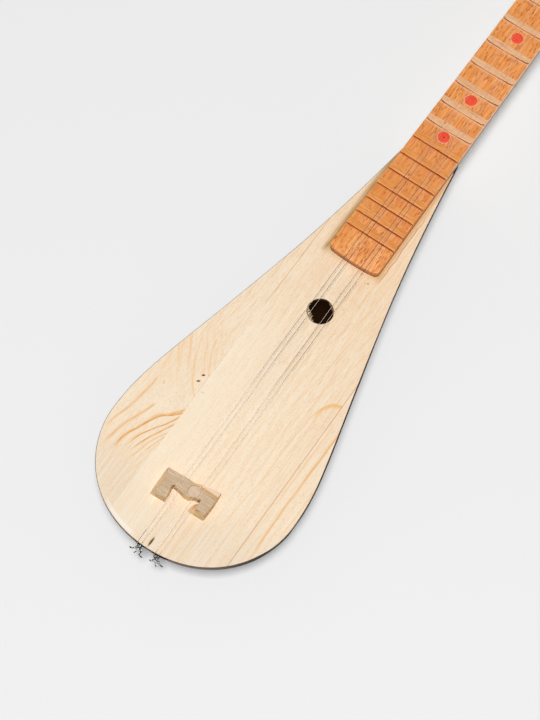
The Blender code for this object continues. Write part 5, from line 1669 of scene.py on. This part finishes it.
def steel_with_painted_reflections():
    """Steel whose colour changes from the tail to the neck, with painted reflections and a painted glint."""
    material, place, shader = start_material("string_steel")
    x, y, z = split(place)
    clouds = noise(stretch(place, 1000.0, 1000.0, 1000.0), 1.0)
    # At the tail the wire is painted in black and white patches: painted reflections of the dark bowl and the pale
    # studio.
    colour = blend(clouds.rise(0.53, 0.59), seen(10, 10, 12), seen(250, 250, 250))
    colour = blend(x.rise(TAIL_X - 0.0012, TAIL_X + 0.0003), colour, seen(88, 80, 74))
    first = y.rise(0.0042, 0.0047)
    colour = blend((x - first * 0.008).rise(TAIL_X + 0.001, TAIL_X + 0.006), colour, seen(246, 230, 212))
    colour = blend(x.rise(-0.136, -0.130), colour, seen(204, 190, 174))
    colour = blend(x.rise(-0.114, -0.110), colour, seen(244, 230, 208))
    outermost = y.rise(0.0052, 0.0058) * x.rise(-0.110, -0.100)
    colour = blend(outermost, colour, seen(196, 186, 168))
    colour = blend(x.rise(-0.050, 0.020), colour, seen(70, 54, 40))
    # Over the hole the wire is painted light: a painted reflection.
    over_hole = ((x - HOLE_SEEN[0]) * (x - HOLE_SEEN[0]) + (y - HOLE_SEEN[1]) * (y - HOLE_SEEN[1])).root()
    colour = blend(over_hole.rise(HOLE_RADIUS + 0.0003, HOLE_RADIUS - 0.0003), colour, seen(214, 200, 188))
    colour = blend(x.rise(0.097, 0.103), colour, seen(120, 74, 42))
    colour = blend(x.rise(0.150, 0.260), colour, seen(234, 178, 130))
    at_tail = x.rise(TAIL_X + 0.003, TAIL_X)
    # A faint glow along the wire over the soundboard: a painted glint of the lamp.
    glint = x.rise(TAIL_X + 0.006, TAIL_X + 0.014) * x.rise(0.000, -0.060) * (outermost * -0.6 + 1.0)
    links = material.node_tree.links
    links.new(blend(glint, seen(0, 0, 0), seen(140, 129, 114)).output, shader.inputs["Emission Color"])
    shader.inputs["Emission Strength"].default_value = 1.0
    shader.inputs["Specular IOR Level"].default_value = 0.15
    links.new((x.rise(0.38, 0.46) * 0.85 + 0.15).output, shader.inputs["Metallic"])
    finish(shader, colour, 0.58 - at_tail * 0.30, clouds * at_tail, 0.00002)
    return material


string_steel = steel_with_painted_reflections()
print("wire is ready to be bent")

# %% Windings
STUB_CLEAR = WINDING_RADIUS + 2 * STRING_RADIUS + GAP
STUB_LENGTH = sqrt(STUB_CLEAR ** 2 - WINDING_RADIUS ** 2)


def string_meets_stub(index):
    """Where the fixed string ends and the wire of the winding begins, in the head's frame."""
    axis = Vector((peg_x(index), 0.0, -PEG_AXIS_DEPTH))
    touch = axis + wound(index, 0.0)
    leave = leaves_nut(PEG_FOR_STRING.index(index))
    return touch + (leave - touch).normalized() * STUB_LENGTH


for index in range(4):
    steps = round(48 * WINDING_LOOPS)
    full_turns = 2 * pi * WINDING_LOOPS
    line = [wound(index, full_turns * i / steps) for i in range(steps + 1)]
    stub_end = string_meets_stub(index) - Vector((peg_x(index), 0.0, -PEG_AXIS_DEPTH))
    outward = hole_direction(index)
    last = outward * WINDING_RADIUS + Vector((0.0, line[-1].y, 0.0))
    line = [stub_end] + line + through(
        [last - outward * 0.0001, last - outward * 0.0006, last - outward * 0.0016, last - outward * 0.0026], 3)[1:]
    line = [peg_frame(index) @ point for point in line]
    add_piece(
        f"winding_wire_{index + 1}", wire([line], WIRE_RADIUS), [string_steel], PEG_BODIES[index],
        (f"winding_{index + 1}",), 60.0)
print("four windings of", WINDING_LOOPS, "turns")

# %% [markdown]
# At the tail each string is looped over a pin, and its end is twisted round itself a few times
# before it is snipped off. The snipped ends stand out and curl down, two for each pin.

# %% Tail pins
PIN_HEAD_RADIUS = 0.0026
PIN_HEAD_X = TAIL_X - 0.0034
PIN_BACK_X = TAIL_X - 0.0026


def tail_pin(y):
    """A turned pin with a flat head."""
    profile = [
        (0.0, PIN_HEAD_X), (PIN_HEAD_RADIUS - 0.0003, PIN_HEAD_X), (PIN_HEAD_RADIUS, PIN_HEAD_X + 0.0003),
        (PIN_HEAD_RADIUS, PIN_BACK_X - 0.0001), (PIN_HEAD_RADIUS - 0.0002, PIN_BACK_X),
        (PIN_RADIUS + 0.0002, PIN_BACK_X), (PIN_RADIUS, PIN_BACK_X + 0.0003),
        (PIN_RADIUS, TAIL_X + PIN_BURIED - 0.0002), (0.0, TAIL_X + PIN_BURIED - 0.0002),
    ]
    source = bmesh.new()
    chain = [source.verts.new((x, radius, 0.0)) for radius, x in profile]
    edges = [source.edges.new(pair) for pair in zip(chain, chain[1:])]
    bmesh.ops.spin(
        source, geom=chain + edges, cent=(0.0, 0.0, 0.0), axis=(1.0, 0.0, 0.0), angle=2 * pi,
        steps=32, use_merge=True, use_duplicate=False)
    bmesh.ops.remove_doubles(source, verts=source.verts, dist=1e-6)
    bmesh.ops.translate(source, verts=source.verts, vec=(0.0, y, PIN_Z))
    bmesh.ops.recalc_face_normals(source, faces=source.faces)
    return source


pin_steel = plain("pin_steel", seen(210, 210, 212), seen(52, 52, 54), 0.35, 1.0, 900.0)
for name, y in zip(("tail_pin_left", "tail_pin_right"), COURSE_CENTRES):
    add_piece(name + "_turned", tail_pin(y), [pin_steel], "instrument", (name,))
print("two pins")

# %% Tail plates
PLATE_SPANS = ((0.0085, -0.0022), (-0.0075, -0.0205))
PLATE_THICK = 0.0007
plate_dark = plain("plate_dark", seen(16, 14, 14), seen(6, 6, 6), 0.8, 0.0, 900.0)
plate_dark.node_tree.nodes["Principled BSDF"].inputs["Specular IOR Level"].default_value = 0.1


def tail_plate(start, end):
    """A thin dark plate under the wires that follows the body's edge and thins out at its ends."""
    rings = []
    for i in range(17):
        share = i / 16
        y = start + (end - start) * share
        thick = 0.0001 + (PLATE_THICK - 0.0001) * max(sin(pi * share), 0.0) ** 0.7
        edge = tail_edge_x(y)
        outline = ((0.0006, 0.0), (-thick, -0.0002), (-thick, -0.0020), (0.0006, -0.0022))
        rings.append([(edge + x, y, TOP_Z - 0.0004 + z) for x, z in outline])
    return loft(rings)


for number, (start, end) in enumerate(PLATE_SPANS):
    add_piece(f"tail_plate_{number + 1}", tail_plate(start, end), [plate_dark], "instrument")
print("two plates at the tail")

# %% Strings
LOOP_PLANES = (TAIL_X - 0.0009, TAIL_X - 0.0019)
LOOP_RADIUS = PIN_RADIUS + STRING_RADIUS + 0.00005
TWIST_RADIUS = 2.1 * STRING_RADIUS
TWIST_TURNS = 4
TWIST_LOW_Z = TOP_Z - 0.0062
TWIST_HIGH_Z = TOP_Z - 0.0022
STRAND_OFFSET = 0.00024
# Snipped ends, as strands and points in mm: out from the tail's tip, across from the pin, up
SNIPPED_ENDS = (
    ((2, ((1.6, 1.3, 39.2), (2.2, 2.7, 37.0), (3.4, 4.1, 35.0), (4.1, 5.7, 34.2), (4.2, 6.5, 35.0))),
     (1, ((2.4, 0.3, 34.0), (3.8, 1.1, 33.0), (4.9, 2.1, 31.0), (5.0, 2.9, 29.0)))),
    ((2, ((1.2, -2.6, 39.6), (2.8, -3.2, 38.0), (4.2, -2.8, 36.2), (4.7, -2.0, 34.0), (4.8, -1.8, 31.5),
          (4.6, -3.0, 29.2), (4.4, -3.9, 28.4))),),
    ((2, ((1.6, 1.2, 39.2), (2.2, 1.4, 36.5), (3.2, 2.2, 35.0), (3.8, 3.4, 34.2), (3.8, 4.3, 34.8))),
     (1, ((3.8, -0.6, 34.0), (4.2, -1.0, 31.5), (4.3, -1.5, 29.0)))),
    ((2, ((1.0, -2.4, 39.8), (2.2, -3.2, 37.8), (2.6, -3.3, 35.0), (2.4, -3.6, 32.5), (2.0, -4.6, 30.5),
          (1.8, -5.6, 30.0))),),
)


def bridge_crossing(y):
    """Where a line along the strings enters and leaves the bridge."""
    corners = [(BRIDGE_PLACE[0] + x, BRIDGE_PLACE[1] + across) for x, across, _, _ in BRIDGE_PLAN]
    found = []
    for (x0, y0), (x1, y1) in zip(corners, corners[1:] + corners[:1]):
        if (y0 - y) * (y1 - y) < 0:
            found.append(x0 + (x1 - x0) * (y - y0) / (y1 - y0))
    return min(found), max(found)


def snipped_end(strands, points, pin_y):
    """One wire along the points, or two that are twisted round each other."""
    places = [(TAIL_X - out / 1000, pin_y + across / 1000, up / 1000) for out, across, up in points]
    middle = through(places, 9)
    if strands == 1:
        return [middle]
    lines = []
    for strand in range(strands):
        line = []
        for i, point in enumerate(middle):
            angle = 2 * pi * (i / 10 + strand / strands)
            line.append(point + Vector((cos(angle), sin(angle), 0.3 * sin(angle))) * STRAND_OFFSET)
        lines.append(line)
    return lines


def tail_end(string):
    """The twist round the standing wire and the loop round the pin."""
    side = 1 if string % 2 == 0 else -1
    pin_y = COURSE_CENTRES[string // 2]
    plane = LOOP_PLANES[string % 2]
    down_y = pin_y + side * LOOP_RADIUS
    twist = []
    for i in range(TWIST_TURNS * 12 + 1):
        share = i / (TWIST_TURNS * 12)
        angle = 2 * pi * TWIST_TURNS * share + (0.0 if side > 0 else pi)
        z = TWIST_HIGH_Z + (TWIST_LOW_Z - TWIST_HIGH_Z) * share
        twist.append((plane + TWIST_RADIUS * sin(angle), down_y + TWIST_RADIUS * cos(angle), z))
    loop = []
    for i in range(25):
        angle = pi * i / 24
        loop.append((plane, pin_y - side * LOOP_RADIUS * cos(angle), PIN_Z - LOOP_RADIUS * sin(angle)))
    crossing = through([twist[-1], (plane, pin_y, PIN_Z + LOOP_RADIUS * 1.1), loop[0]], 6)
    return twist + crossing[1:-1] + loop


def string_line(string):
    """One string from its twist to the wire of its winding."""
    side = 1 if string % 2 == 0 else -1
    plane = LOOP_PLANES[string % 2]
    down_y = COURSE_CENTRES[string // 2] + side * LOOP_RADIUS
    rim = through([
        (plane, down_y, PIN_Z + 0.0004), (plane, down_y, TOP_Z - 0.0014),
        (plane + 0.0003, down_y, TOP_Z - 0.0003), (TAIL_X + 0.0002, down_y, TOP_Z + STRING_RADIUS + 0.0001),
        (TAIL_X + 0.0030, down_y, TOP_Z + STRING_RADIUS + 0.0006)], 5)
    low, high = bridge_crossing(STRING_Y_BRIDGE[string])
    bridge_z = BRIDGE_TOP_Z - NOTCH_RADIUS + WIRE_RADIUS + 0.00002
    share = (high - low) / (NUT_X - low)
    over = [
        (low, STRING_Y_BRIDGE[string], bridge_z),
        (high, STRING_Y_BRIDGE[string] + (STRING_Y_NUT[string] - STRING_Y_BRIDGE[string]) * share,
         bridge_z + (NUT_STRING_Z - bridge_z) * share),
        (NUT_X + 0.0005, STRING_Y_NUT[string], NUT_STRING_Z),
        (NUT_X + 0.0035, STRING_Y_NUT[string], NUT_STRING_Z - 0.0001),
    ]
    index = PEG_FOR_STRING[string]
    leave = leaves_nut(string)
    meet = string_meets_stub(index)
    head = [HEAD_FRAME @ (leave + (meet - leave) * 0.03), HEAD_FRAME @ (meet + (leave - meet).normalized() * 0.00003)]
    return tail_end(string) + rim + [Vector(point) for point in over] + head


for string in range(4):
    lines = [string_line(string)]
    for strands, points in SNIPPED_ENDS[string]:
        lines += snipped_end(strands, points, COURSE_CENTRES[string // 2])
    add_piece(
        f"string_wire_{string + 1}", wire(lines, WIRE_RADIUS), [string_steel], "instrument",
        (f"string_{string + 1}",), 60.0)
print("four strings")

# %% Braces
brace_pine = beech("brace_bare", seen(232, 206, 170), seen(214, 184, 144), seen(180, 144, 104), True, 0.6, 0.4)
for name in ("brace_1", "brace_2", "brace_3"):
    brace = nodes[name]
    brace.data.materials.clear()
    brace.data.materials.append(brace_pine)
print("still from the frame:", [name for name, item in nodes.items() if not item.hide_render])
